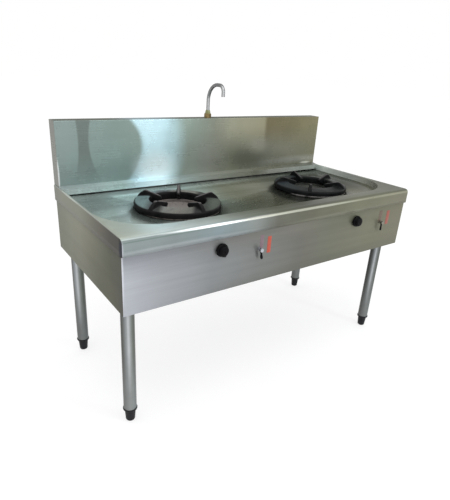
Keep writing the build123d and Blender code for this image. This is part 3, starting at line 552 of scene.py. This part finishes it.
# painted highlight and shade round the legs: tones by angle from the highlight line, darker lower down
tubeLook = {
    "fall": (0.36, 0.1), "wander": (9, 9, 2.2), "wanderDepth": 8.0, "lines": (300, 300, 5), "rough": (0.28, 0.4),
    "tones": ((-180, 150, 152, 150), (-120, 88, 90, 86), (-76, 56, 58, 54), (-58, 72, 74, 71), (-44, 100, 102, 100),
        (-28, 130, 133, 134), (-12, 152, 156, 158), (-3, 184, 187, 190), (6, 184, 187, 189), (20, 144, 149, 147),
        (32, 122, 126, 122), (46, 100, 105, 98), (75, 90, 94, 88), (130, 160, 162, 160), (180, 150, 152, 150)),
    "low": ((-180, 140, 142, 140), (-110, 90, 92, 88), (-64, 104, 106, 103), (-30, 126, 129, 128),
        (4, 142, 145, 144), (32, 136, 142, 141), (64, 112, 118, 118), (120, 150, 152, 150), (180, 140, 142, 140))}
# for each tube: where its painted highlight line faces, in degrees, and the painted brightness of its lower end
tubeAims = {"front_left": (-107, 1.0), "front_right": (-128, 0.86), "rear_left": (-117, 0.84),
            "rear_right": (-125, 0.86)}
# the front right one is painted darker outside these angles from its highlight line
darkTube = {"corner": "front_right", "lit": (-26, 4), "dim": 0.8}


def dimmed(tones, dim, lit=(1, 0)):
    # tones outside the lit angles, or all of them
    return [(angle, *[v * (1.0 if lit[0] <= angle <= lit[1] else dim) for v in colour]) for angle, *colour in tones]


for corner, (aim, lowDim) in tubeAims.items():
    sideDim = darkTube["dim"] if corner == darkTube["corner"] else 1.0
    finishes["tube_" + corner] = tubeWithPaintedLight("tubeSteel_" + corner, dict(
        tubeLook, aim=aim, tones=dimmed(tubeLook["tones"], sideDim, darkTube["lit"]),
        low=dimmed(tubeLook["low"], lowDim)))
finishes["tube"] = finishes["tube_front_left"]
# painted highlight on the spout: bright in the middle as seen, darker towards its outline
finishes["pipe"] = tubeWithPaintedLight("spoutSteel", {
    "tones": ((0.04, 204, 205, 206), (0.2, 164, 165, 166), (0.45, 128, 128, 128), (0.8, 92, 92, 90)),
    "wander": (20, 20, 14), "wanderDepth": 0.12, "lines": (160, 160, 60), "rough": (0.18, 0.3), "edgeTint": 0.4})
# painted light on the left ring: sheen tones across its top, a highlight on each prong's top and a highlight line
# along its foot
ironLook = {
    "dark": (12, 12, 13), "light": (27, 25, 26), "sheenFade": (-0.4, -0.1), "sheenWay": (0.819, -0.574),
    "sheen": ((-0.46, 100, 122, 124), (-0.4, 104, 124, 124), (-0.37, 62, 62, 64), (-0.335, 56, 58, 56),
        (-0.316, 112, 114, 110), (-0.268, 118, 116, 110), (-0.215, 112, 112, 106), (-0.197, 54, 54, 54),
        (-0.16, 56, 60, 56), (-0.135, 80, 88, 80), (-0.08, 66, 74, 66)),
    "crest": (118, 112, 112), "crestShare": 0.6, "worn": (70, 72, 74), "wear": 0.25, "patchScale": 34.0,
    "sandScale": 420.0, "rough": (0.4, 0.55), "bump": 0.35, "gloss": 0.1, "foot": (0.7724, 0.7744),
    "footTone": (150, 140, 136), "footReach": (-0.09, -0.13)}
finishes["iron"] = ironWithPaintedLight("castIron", ironLook)
# painted shade: the right ring is a darker copy of the left one, with a weaker sheen and a brighter foot line
finishes["ironShaded"] = ironWithPaintedLight("castIronShaded", dict(
    ironLook, dark=(9, 10, 11), light=(22, 23, 24), sheenFade=(-0.25, 0.0), foot=(0.7738, 0.776),
    crestShare=0.3, sheen=((0.16, 44, 52, 56), (0.32, 36, 40, 38), (0.51, 58, 62, 56)), footTone=(168, 164, 162)))
finishes["cap"] = ironWithPaintedLight("capIron", {
    "dark": (100, 94, 91), "light": (116, 110, 106), "worn": (126, 120, 116), "patchScale": 22.0,
    "sandScale": 380.0, "rough": (0.5, 0.65), "bump": 0.3, "gloss": 0.25})
# painted shade: the right burner cap and well are a darker copy of the left ones
finishes["capShaded"] = ironWithPaintedLight("capIronShaded", {
    "dark": (44, 46, 42), "light": (60, 62, 56), "worn": (70, 72, 68), "patchScale": 22.0,
    "sandScale": 380.0, "rough": (0.5, 0.65), "bump": 0.3, "gloss": 0.15})
# small pieces and strips: material, dark tone, light tone, tone of worn edges, roughness, scale, other values
smallLooks = {
    "zinc": ("zincPipe", (150, 152, 152), (178, 180, 178), (178, 180, 178), (0.35, 0.5), 40.0, {"metal": 1.0}),
    "black": ("blackMoulding", (5, 5, 6), (12, 12, 15), (34, 34, 38), (0.36, 0.5), 140.0, {"gloss": 0.07}),
    "rubber": ("footMoulding", (14, 14, 16), (34, 35, 38), (70, 72, 76), (0.45, 0.65), 90.0, {"gloss": 0.22}),
    "brass": ("turnedBrass", (112, 98, 62), (150, 130, 88), (196, 186, 150), (0.24, 0.38), 90.0,
              {"metal": 0.7, "lift": (1.089, 1.092, (134, 136, 98))}),
    "bright": ("brightSteel", (150, 152, 152), (186, 188, 188), (222, 222, 222), (0.2, 0.32), 70.0, {"metal": 0.8}),
    "nut": ("nutSteel", (146, 148, 154), (172, 174, 182), (206, 206, 210), (0.28, 0.4), 70.0, {"metal": 0.5}),
    # painted shade: the right pilot valve's nut is a darker copy of the left one
    "nutShaded": ("nutSteelShaded", (104, 100, 92), (126, 122, 112), (160, 156, 148), (0.28, 0.4), 70.0, {"metal": 0.5}),
    "redStrip": ("redStrip", (170, 70, 56), (186, 86, 68), (186, 86, 68), (0.4, 0.55), 120.0, {}),
    "fadedRedStrip": ("fadedRedStrip", (140, 76, 66), (156, 92, 80), (156, 92, 80), (0.4, 0.55), 120.0, {}),
    "violetStrip": ("violetStrip", (118, 98, 106), (130, 112, 118), (130, 112, 118), (0.4, 0.5), 120.0, {}),
    "brownStrip": ("brownStrip", (96, 84, 72), (112, 98, 84), (112, 98, 84), (0.4, 0.5), 120.0, {})}
for key, (name, dark, light, worn, rough, scale, more) in smallLooks.items():
    finishes[key] = plainFinish(name, {"dark": dark, "light": light, "worn": worn, "rough": rough, "scale": scale,
                                       **more})

bySlot = {"stainless": "splash", "panel_steel": "panel", "frame_steel": "mill", "tube_steel": "tube",
          "cast_iron": "iron", "cap_iron": "cap", "black_plastic": "black", "brass": "brass",
          "bright_steel": "bright", "pipe_steel": "zinc"}
byNode = {"left_panel": "side", "right_panel": "side", "rear_ledge": "ledge", "top_pan": "deck",
          "burner_well_left": "cap", "burner_well_right": "capShaded", "burner_cap_right": "capShaded",
          "gutter_trough": "mill", "pilot_valve_left": "nut", "pilot_valve_right": "nutShaded",
          "pilot_stem_left": "nut", "pilot_stem_right": "nutShaded",
          "splash_back": "splashShell", "rear_panel": "mill"}
slotOf = {s["node"]: s["material_slot"] for s in frame["record"]["subparts"]}
for nodeName, obj in nodes.items():
    finish = finishes[byNode.get(nodeName, bySlot[slotOf[nodeName]])]
    if not obj.material_slots:
        obj.data.materials.append(finish)
    for place in obj.material_slots:
        place.material = finish
print("finishes made:", len(finishes))


# top pan: turned-down lips, a rounded front edge, oval front corners, a sunk deck with burner holes and a gutter slot
pan = {"halfX": 0.75, "halfY": 0.36, "top": 0.8, "lipLow": 0.734, "lipHigh": 0.045, "frontRound": 0.018,
       "sideRound": 0.003, "cornerX": 0.006, "cornerY": 0.02, "rearRound": 0.005, "deckX": 0.742,
       "deckFront": -0.296, "deckRear": 0.3, "deck": 0.768, "frontCorner": 0.23, "rearCorner": 0.006,
       "rimEdge": 0.0016, "deckEdge": 0.0025, "sheet": 0.0015, "hole": 0.104, "holeY": -0.053, "slotX": 0.64,
       "slotFront": 0.266, "slotGap": 0.004, "bandDeep": 0.1, "bandEnd": 0.006, "flat": 0.9, "sideways": 0.75,
       "perCorner": 16, "roundSteps": 8, "edgeSteps": 4, "holeSteps": 96, "sharp": 40}


def roundedLoop(x0, x1, y0, y1, frontX, frontY, rear, perCorner):
    # points round a rectangle with oval front corners, each with its cosine and sine
    points = []
    corners = ((x1 - frontX, y0 + frontY, frontX, frontY, -90), (x1 - rear, y1 - rear, rear, rear, 0),
               (x0 + rear, y1 - rear, rear, rear, 90), (x0 + frontX, y0 + frontY, frontX, frontY, 180))
    for cx, cy, wide, deep, start in corners:
        for k in range(perCorner + 1):
            a = radians(start + 90 * k / perCorner)
            points.append((cx + wide * cos(a), cy + deep * sin(a), cos(a), sin(a)))
    return points


def makePan():
    p = pan

    def outerLoop(z, turn=None):
        places = []
        for x, y, across, along in roundedLoop(-p["halfX"], p["halfX"], -p["halfY"], p["halfY"], p["cornerX"],
                                               p["cornerY"], p["rearRound"], p["perCorner"]):
            if turn is None:
                places.append(Vector((x, y, z)))
                continue
            deep = p["frontRound"] if along < 0 else p["sideRound"]
            drop = p["sideRound"] + (p["frontRound"] - p["sideRound"]) * max(0.0, -along) ** 2
            places.append(Vector((x - across * p["sideRound"] * (1 - cos(turn)), y - along * deep * (1 - cos(turn)),
                                  p["top"] - drop * (1 - sin(turn)))))
        return places

    def innerLoop(grow, z):
        return [Vector((x, y, z)) for x, y, across, along in roundedLoop(
            -p["deckX"] - grow, p["deckX"] + grow, p["deckFront"] - grow, p["deckRear"] + grow,
            p["frontCorner"] + grow, p["frontCorner"] + grow, p["rearCorner"] + grow, p["perCorner"])]

    loops = [outerLoop(p["lipLow"]), outerLoop(p["top"] - p["lipHigh"])]
    loops += [outerLoop(0, a) for a in quarter(p["roundSteps"])]
    edge, foot = p["rimEdge"], p["deckEdge"]
    loops += [innerLoop(edge * (1 - sin(a)), p["top"] - edge * (1 - cos(a))) for a in quarter(p["edgeSteps"])]
    loops += [innerLoop(-foot * (1 - cos(a)), p["deck"] + foot * (1 - sin(a))) for a in quarter(p["edgeSteps"])]
    bm = bmesh.new()
    rows = [[bm.verts.new(v) for v in loop] for loop in loops]
    skin(bm, rows)
    border = [bm.edges.get(pair) for pair in zip(rows[-1], rows[-1][1:] + rows[-1][:1])]
    back = p["deckRear"] - p["slotGap"]
    openings = [[(x + p["hole"] * across, p["holeY"] + p["hole"] * along)
                 for across, along in circle(p["holeSteps"])] for x in burnerX.values()]
    openings.append([(-p["slotX"], p["slotFront"]), (p["slotX"], p["slotFront"]), (p["slotX"], back),
                     (-p["slotX"], back)])
    for opening in openings:
        brink = [bm.verts.new((x, y, p["deck"])) for x, y in opening]
        border += [bm.edges.new(pair) for pair in zip(brink, brink[1:] + brink[:1])]
    bmesh.ops.triangle_fill(bm, use_beauty=True, use_dissolve=False, edges=border)
    obj = fromBmesh("topPan", bm, finishes["deck"], mainBody)
    for finish in ("band", "rim", "wall"):
        obj.data.materials.append(finishes[finish])
    faces = obj.data.polygons
    for face in faces:
        x, y, z = face.center
        inside = abs(x) < p["deckX"] + edge and p["deckFront"] - edge < y < p["deckRear"] + edge
        if z > p["top"] - edge * 1.1 and face.normal.z > p["flat"]:
            onBand = y < p["deckFront"] + p["bandDeep"] and abs(x) < p["halfX"] - p["bandEnd"]
            face.material_index = 1 if onBand else 2
        elif inside and z > p["deck"] + foot * 0.8:
            face.material_index = 3
        elif not inside:
            onFront = y < -p["halfY"] + p["frontRound"] and abs(face.normal.x) < p["sideways"]
            face.material_index = 1 if onFront else 2
    # the sheet's thickness goes down
    up = sum(f.normal.z * f.area for f in faces if abs(f.center.z - p["deck"]) < 1e-4)
    thick = obj.modifiers.new("sheet", "SOLIDIFY")
    thick.thickness = p["sheet"]
    thick.offset = -1 if up > 0 else 1
    sharpByAngle(obj, p["sharp"])
    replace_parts(obj, "top_pan")


makePan()
print("top pan made")


# wok rings: a hollow cast ring with five prongs that climb from the rim and lean in over the opening
ring = {"prongs": 5, "angles": {"left": 59.5, "right": 9.0}, "steps": 120, "width": 0.015, "tip": 0.0708,
        "tipShare": 0.8, "widen": 2.8, "thinFrom": 0.03, "thin": 4.0, "voxel": 0.0021, "quickVoxel": 0.0035,
        "soften": 0.5, "softenTimes": 4}
ring["section"] = [(0.1735, 0.0), (0.177, 0.004), (0.177, 0.0195), (0.1762, 0.0235), (0.1735, 0.0262),
    (0.169, 0.028), (0.145, 0.0318), (0.128, 0.0336), (0.122, 0.034), (0.1165, 0.0325), (0.113, 0.029),
    (0.112, 0.024), (0.112, 0.003), (0.114, 0.0), (0.1195, 0.0), (0.1215, 0.025), (0.13, 0.027), (0.164, 0.0205),
    (0.1675, 0.0)]
ring["prong"] = [(0.1735, 0.022), (0.1725, 0.031), (0.166, 0.0385), (0.156, 0.047), (0.148, 0.0525),
    (0.142, 0.0553), (0.136, 0.055), (0.124, 0.0515), (0.1, 0.0445), (0.079, 0.0385), (0.0725, 0.0355),
    (0.0708, 0.032), (0.0716, 0.027), (0.076, 0.022), (0.09, 0.013), (0.105, 0.005), (0.115, 0.003), (0.118, 0.02)]


def makeRing(side):
    r = ring
    bm = bmesh.new()
    skin(bm, [[bm.verts.new((q * x, q * y, z)) for q, z in r["section"]] for x, y in circle(r["steps"])], closed=True)

    def halfWidth(q, z):
        # thinner towards the tip and the crest
        full = r["width"] / 2 * (r["tipShare"] + r["widen"] * (q - r["tip"]))
        return full * (1.0 - r["thin"] * max(0, z - r["thinFrom"]))

    for number in range(r["prongs"]):
        turn = Matrix.Rotation(radians(r["angles"][side] + 360 / r["prongs"] * number), 4, "Z")
        flanks = [[bm.verts.new(turn @ Vector((q, shift * halfWidth(q, z), z))) for q, z in r["prong"]]
                  for shift in (-1, 1)]
        bm.faces.new(flanks[0])
        bm.faces.new(list(reversed(flanks[1])))
        skin(bm, flanks)
    bmesh.ops.recalc_face_normals(bm, faces=bm.faces[:])
    bmesh.ops.translate(bm, verts=bm.verts[:], vec=(burnerX[side], pan["holeY"], pan["deck"]))
    obj = fromBmesh("wokRing_" + side, bm, finishes["iron" if side == "left" else "ironShaded"], f"ring_{side}_lifts")
    cast = obj.modifiers.new("cast", "REMESH")
    cast.mode = "VOXEL"
    cast.voxel_size = r["voxel"]
    cast.use_smooth_shade = True
    soften = obj.modifiers.new("soften", "SMOOTH")
    soften.factor = r["soften"]
    soften.iterations = r["softenTimes"]
    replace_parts(obj, "wok_ring_" + side)


for side in burnerX:
    makeRing(side)
print("wok rings made")


# legs: tube, black collar at its end and a tapered screw foot
legs = {"x": 0.7, "y": 0.275,
        "tube": [(0.0239, 0.0612), (0.025, 0.0612), (0.0254, 0.0617), (0.0254, 0.7585), (0.025, 0.759),
            (0.0239, 0.759)],
        "collar": [(0.0083, 0.0532), (0.0257, 0.0532), (0.0273, 0.0542), (0.028, 0.056), (0.028, 0.0588),
            (0.0273, 0.0605), (0.0257, 0.061), (0.02385, 0.061), (0.02385, 0.0925), (0.023, 0.093),
            (0.0083, 0.093)],
        "foot": [(0.001, 0), (0.0105, 0), (0.0135, 0.0006), (0.0162, 0.0024), (0.018, 0.0056), (0.0185, 0.011),
            (0.0191, 0.02), (0.0206, 0.038), (0.0217, 0.049), (0.022, 0.0526), (0.0205, 0.053), (0.008, 0.053),
            (0.008, 0.0975), (0.0072, 0.098), (0.001, 0.098)]}
corners = {"front_left": (-1, -1), "front_right": (1, -1), "rear_left": (-1, 1), "rear_right": (1, 1)}
for corner, (sx, sy) in corners.items():
    centre = (sx * legs["x"], sy * legs["y"])
    tube = lathe("legTube_" + corner, legs["tube"], centre, finishes["tube_" + corner], mainBody)
    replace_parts(tube, "leg_tube_" + corner)
    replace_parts(lathe("foot_" + corner, legs["foot"], centre, finishes["rubber"], f"foot_{corner}_screws"),
                "foot_" + corner)
    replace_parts(lathe("legCollar_" + corner, legs["collar"], centre, finishes["rubber"], mainBody), "leg_inserts")
print("legs made")


# knobs: a round grip on a skirt that is drawn out to a blunt beak, with a raised rib on the face
knob = {"z": 0.687, "x": {"left": -0.36, "right": 0.39}, "back": -0.354, "front": -0.376, "steps": 96,
        "beak": {"left": (0.015, -0.028), "right": (0.026, -0.028)}, "beakSpread": 36, "beakPower": 1.3,
        "plump": 1.11, "grooves": 24, "grooveDeep": 0.0005, "grooveFrom": 0.009, "grooveTo": 0.019, "sharp": 50,
        "rib": ((-0.004, -0.0028, -0.0011), (0.015, 0.0028, 0.0011), 0.001),
        "layers": [(0.0, 0.0205, 0.008), (0.0006, 0.0226, 0.0092), (0.0016, 0.023, 0.0096), (0.0052, 0.023, 0.0096),
            (0.0066, 0.0224, 0.0088), (0.0076, 0.0206, 0.0062), (0.0084, 0.0195, 0.0036), (0.013, 0.0187, 0.0031),
            (0.0176, 0.0179, 0.0025), (0.0198, 0.0166, 0.0018), (0.0212, 0.0142, 0.001), (0.0219, 0.0104, 0.0004),
            (0.022, 0.0056, 0.0)]}


def makeKnob(side):
    k = knob
    bx, bz = k["beak"][side]
    aim = atan2(bz, bx)
    bm = bmesh.new()
    rows = []
    for depth, base, spike in k["layers"]:
        base *= k["plump"]
        row = []
        for j in range(k["steps"]):
            a = 2 * pi * j / k["steps"]
            off = abs((a - aim + pi) % (2 * pi) - pi)
            q = base + spike * max(0.0, 1 - off / radians(k["beakSpread"])) ** k["beakPower"]
            if k["grooveFrom"] < depth < k["grooveTo"]:
                q -= k["grooveDeep"] * (0.5 + 0.5 * cos(k["grooves"] * a))
            row.append(bm.verts.new((k["x"][side] + q * cos(a), k["back"] - depth, k["z"] + q * sin(a))))
        rows.append(row)
    skin(bm, rows)
    bm.faces.new(rows[0])
    bm.faces.new(rows[-1])
    obj = fromBmesh("knob_" + side, bm, finishes["black"], f"knob_{side}_turns")
    sharpByAngle(obj, k["sharp"])
    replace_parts(obj, "knob_" + side)
    bm = bmesh.new()
    roundedBar(bm, *k["rib"])
    turn = Matrix.Rotation(radians(90), 4, "X") @ Matrix.Rotation(aim, 4, "Z")
    bmesh.ops.transform(bm, matrix=turn, verts=bm.verts[:])
    bmesh.ops.translate(bm, verts=bm.verts[:], vec=(k["x"][side], k["front"] + k["rib"][1][2], k["z"]))
    fromBmesh("knobRib_" + side, bm, finishes["black"], f"knob_{side}_turns")


for side in burnerX:
    makeKnob(side)
print("knobs made")


# pilot levers: flat, with a small hub, a thin neck and a grip that hangs a little to one side
pilot = {"x": {"left": -0.179, "right": 0.571}, "z": 0.656, "back": -0.362, "front": -0.367, "hub": 0.0056,
         "neck": 0.0034, "neckFrom": 0.3, "neckTo": 0.55, "grip": 0.0052, "gripFrom": 0.84, "low": 0.616,
         "lean": {"left": 0.006, "right": 0.001}, "edge": (0.0009, 3, 50)}


def makeLever(side):
    p = pilot
    reach = p["z"] - p["low"] - p["grip"]
    flank = [(p["neck"], -p["neckFrom"] * reach), (p["neck"], -p["neckTo"] * reach),
             (p["grip"], -p["gripFrom"] * reach)]
    outline = [(p["hub"] * cos(radians(a)), p["hub"] * sin(radians(a))) for a in range(-35, 216, 15)]
    outline += [(-x, z) for x, z in flank]
    outline += [(p["grip"] * cos(radians(a)), p["grip"] * sin(radians(a)) - reach) for a in range(180, 361, 20)]
    outline += flank[::-1]
    outline = [(x - p["lean"][side] * min(0.0, z) / reach, z) for x, z in outline]
    bm = bmesh.new()
    front, back = ([bm.verts.new((p["x"][side] + x, y, p["z"] + z)) for x, z in outline]
                   for y in (p["front"], p["back"]))
    bm.faces.new(front)
    bm.faces.new(list(reversed(back)))
    skin(bm, [front, back])
    lever = fromBmesh("pilotLever_" + side, bm, finishes["black"], f"lever_{side}_turns")
    roundEdges(lever, *p["edge"])
    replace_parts(lever, "pilot_lever_" + side)


for side in burnerX:
    makeLever(side)
print("pilot levers made")


# spout: one bent pipe with a wide bend at the back, a tight one at the tip and a ferrule at its foot
spout = {"y": 0.327, "radius": 0.008, "wall": 0.0012, "upright": (1.083, 1.1, 1.125), "wide": 0.075,
         "wideSteps": 20, "crown": 1.225, "tight": 0.03, "tightSteps": 14, "reach": 0.124, "lip": 1.176,
         "steps": 40, "sharp": 40,
         "ferrule": [(0.0081, 1.0801), (0.0098, 1.0801), (0.01, 1.0804), (0.01, 1.0827), (0.0097, 1.083),
             (0.0081, 1.083)]}


def makeSpout():
    s = spout
    wideZ = s["crown"] - s["wide"]
    tightZ = s["crown"] - s["tight"]
    path = [Vector((0, s["y"], z)) for z in (*s["upright"], wideZ)]
    path += [Vector((0, s["y"] - s["wide"] * (1 - cos(a)), wideZ + s["wide"] * sin(a)))
             for a in quarter(s["wideSteps"])[1:]]
    tipY = s["y"] - s["reach"]
    path += [Vector((0, tipY + s["tight"] * (1 - sin(a)), tightZ + s["tight"] * cos(a)))
             for a in quarter(s["tightSteps"])]
    path.append(Vector((0, tipY, s["lip"])))
    side = Vector((1, 0, 0))
    bm = bmesh.new()

    def sweep(radius):
        rows = []
        for i, point in enumerate(path):
            ahead = (path[min(i + 1, len(path) - 1)] - path[max(i - 1, 0)]).normalized()
            up = ahead.cross(side)
            rows.append([bm.verts.new(point + (side * across + up * along) * radius)
                         for across, along in circle(s["steps"])])
        return rows

    skin(bm, sweep(s["radius"]) + sweep(s["radius"] - s["wall"])[::-1], closed=True)
    obj = fromBmesh("spoutPipe", bm, finishes["pipe"], "spout_swings")
    sharpByAngle(obj, s["sharp"])
    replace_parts(obj, "spout")
    lathe("spoutFerrule", s["ferrule"], (0, s["y"]), finishes["bright"], "spout_swings", s["steps"])


makeSpout()

# union nut: a chamfered hexagon under a tapered hood
unionNut = {"flat": 0.015, "low": 1.072, "bore": 0.01055, "boreTop": 1.086, "steps": 96, "sharp": 28,
            "levels": [(0.0, 0.0158), (0.001, 0.0166), (0.0022, 0.01735), (0.015, 0.01735), (0.0164, 0.017),
                (0.0174, 0.0162), (0.018, 0.0152)],
            "hood": [(0.0135, 1.09), (0.0135, 1.0912), (0.0131, 1.094), (0.012, 1.099), (0.0108, 1.1035),
                (0.01, 1.1056), (0.0094, 1.106), (0.0084, 1.106), (0.0084, 1.09)]}


def makeUnionNut():
    u = unionNut
    bm = bmesh.new()
    turns = [2 * pi * k / u["steps"] for k in range(u["steps"])]
    rows = []
    for height, limit in u["levels"]:
        rows.append([])
        for a in turns:
            fold = (a + pi / 6) % (pi / 3) - pi / 6
            q = min(u["flat"] / cos(fold), limit)
            rows[-1].append(bm.verts.new((q * cos(a), spout["y"] + q * sin(a), u["low"] + height)))
    for q, z in u["hood"] + [(u["bore"], u["boreTop"]), (u["bore"], u["low"])]:
        rows.append([bm.verts.new((q * cos(a), spout["y"] + q * sin(a), z)) for a in turns])
    skin(bm, rows, closed=True)
    obj = fromBmesh("unionNut", bm, finishes["brass"], mainBody)
    sharpByAngle(obj, u["sharp"])
    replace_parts(obj, "union_nut")


makeUnionNut()
print("spout made")


# plain strips on the front panel above the pilot levers
strips = {"face": -0.35, "proud": 0.0004, "round": 0.00018,
          "places": {"redStrip": (-0.127, 0.019, 0.63, 0.7), "violetStrip": (-0.166, 0.018, 0.656, 0.711),
                     "fadedRedStrip": (0.63, 0.022, 0.636, 0.705), "brownStrip": (0.573, 0.026, 0.659, 0.712)}}
for label, (middle, width, low, high) in strips["places"].items():
    bm = bmesh.new()
    roundedBar(bm, (middle - width / 2, strips["face"] - strips["proud"], low),
               (middle + width / 2, strips["face"], high), strips["round"], 2)
    fromBmesh(label, bm, finishes[label], mainBody)
print("strips made")

# folded sheet edges are slightly round
folded = {"names": ("splash_panel", "rear_ledge", "front_panel", "left_panel", "right_panel", "rear_panel",
                    "splash_back"), "edge": (0.0006, 2, 30)}
for nodeName in folded["names"]:
    roundEdges(nodes[nodeName], *folded["edge"])


# studio: white floor and backdrop that keep a faint shadow, two soft lamps
studio = {"glowShare": 0.66, "glow": 1.1, "sky": 0.94, "behind": 1.0,
          "floor": {"half": 30, "dark": 0.9, "light": 0.94, "scale": 3.0, "rough": 0.9},
          "lamps": {
              "windowBox": {"at": (1.6, -3.2, 1.9), "aim": (-0.2, 0.0, 0.8), "size": (0.5, 1.8), "watts": 26,
                            "colour": (0.88, 0.97, 1.0)},
              "topBox": {"at": (-0.6, -0.9, 3.4), "aim": (0, 0, 0.8), "size": (2.6, 1.8), "watts": 26,
                         "colour": (1.0, 1.0, 1.0)}}}


def backdropShare(tree):
    path = addNode(tree, "ShaderNodeLightPath")
    seen = sums(tree, "MAXIMUM", path.outputs["Is Camera Ray"], path.outputs["Is Glossy Ray"])
    return sums(tree, "MAXIMUM", seen, path.outputs["Is Transmission Ray"])


def makeFloor():
    f = studio["floor"]
    bm = bmesh.new()
    bmesh.ops.create_grid(bm, x_segments=8, y_segments=8, size=f["half"])
    mesh = newMesh("floor", bm)
    obj = newObject("floor", mesh)
    material, tree, shader = newFinish("paleFloor")
    coords = placeParts(tree)[0]
    tone = overNoise(tree, noise(tree, coords, grey(f["scale"]), 3.0), grey(f["dark"]), grey(f["light"]))
    feed(tree, shader, {"Base Color": tone, "Roughness": f["rough"]})
    glow = addNode(tree, "ShaderNodeEmission", {"Color": grey(1), "Strength": studio["glow"]})
    mixed = addNode(tree, "ShaderNodeMixShader", {0: times(tree, backdropShare(tree), studio["glowShare"]),
                                                  1: shader.outputs[0], 2: glow.outputs[0]})
    feed(tree, tree.nodes["Material Output"], {"Surface": mixed.outputs[0]})
    mesh.materials.append(material)


makeFloor()

world = bpy.data.worlds.new("studio")
bpy.context.scene.world = world
world.use_nodes = True
sky = world.node_tree
level = addNode(sky, "ShaderNodeMapRange", {0: backdropShare(sky), 3: studio["sky"], 4: studio["behind"]})
feed(sky, sky.nodes["Background"], {"Color": grey(1), "Strength": level.outputs[0]})

for name, lamp in studio["lamps"].items():
    data = bpy.data.lights.new(name, "AREA")
    data.shape = "RECTANGLE"
    data.size, data.size_y = lamp["size"]
    data.energy = lamp["watts"]
    data.color = lamp["colour"]
    obj = newObject(name, data)
    obj.location = lamp["at"]
    obj.rotation_euler = (Vector(lamp["aim"]) - Vector(lamp["at"])).to_track_quat("-Z", "Y").to_euler()

view = {"at": (-1.2392, -1.5692, 1.3059), "turn": (67.5471, -3.2427, -34.9965), "lens": 31.948, "sensor": 36.0,
        "far": 200}
cameraData = bpy.data.cameras.new("camera")
cameraData.sensor_fit = "VERTICAL"
cameraData.sensor_height = view["sensor"]
cameraData.sensor_width = view["sensor"]
cameraData.lens = view["lens"]
cameraData.clip_end = view["far"]
camera = newObject("camera", cameraData)
camera.location = view["at"]
camera.rotation_euler = [radians(a) for a in view["turn"]]
bpy.context.scene.camera = camera
bpy.context.scene.view_settings.view_transform = "Standard"
print("floor, light and camera set")
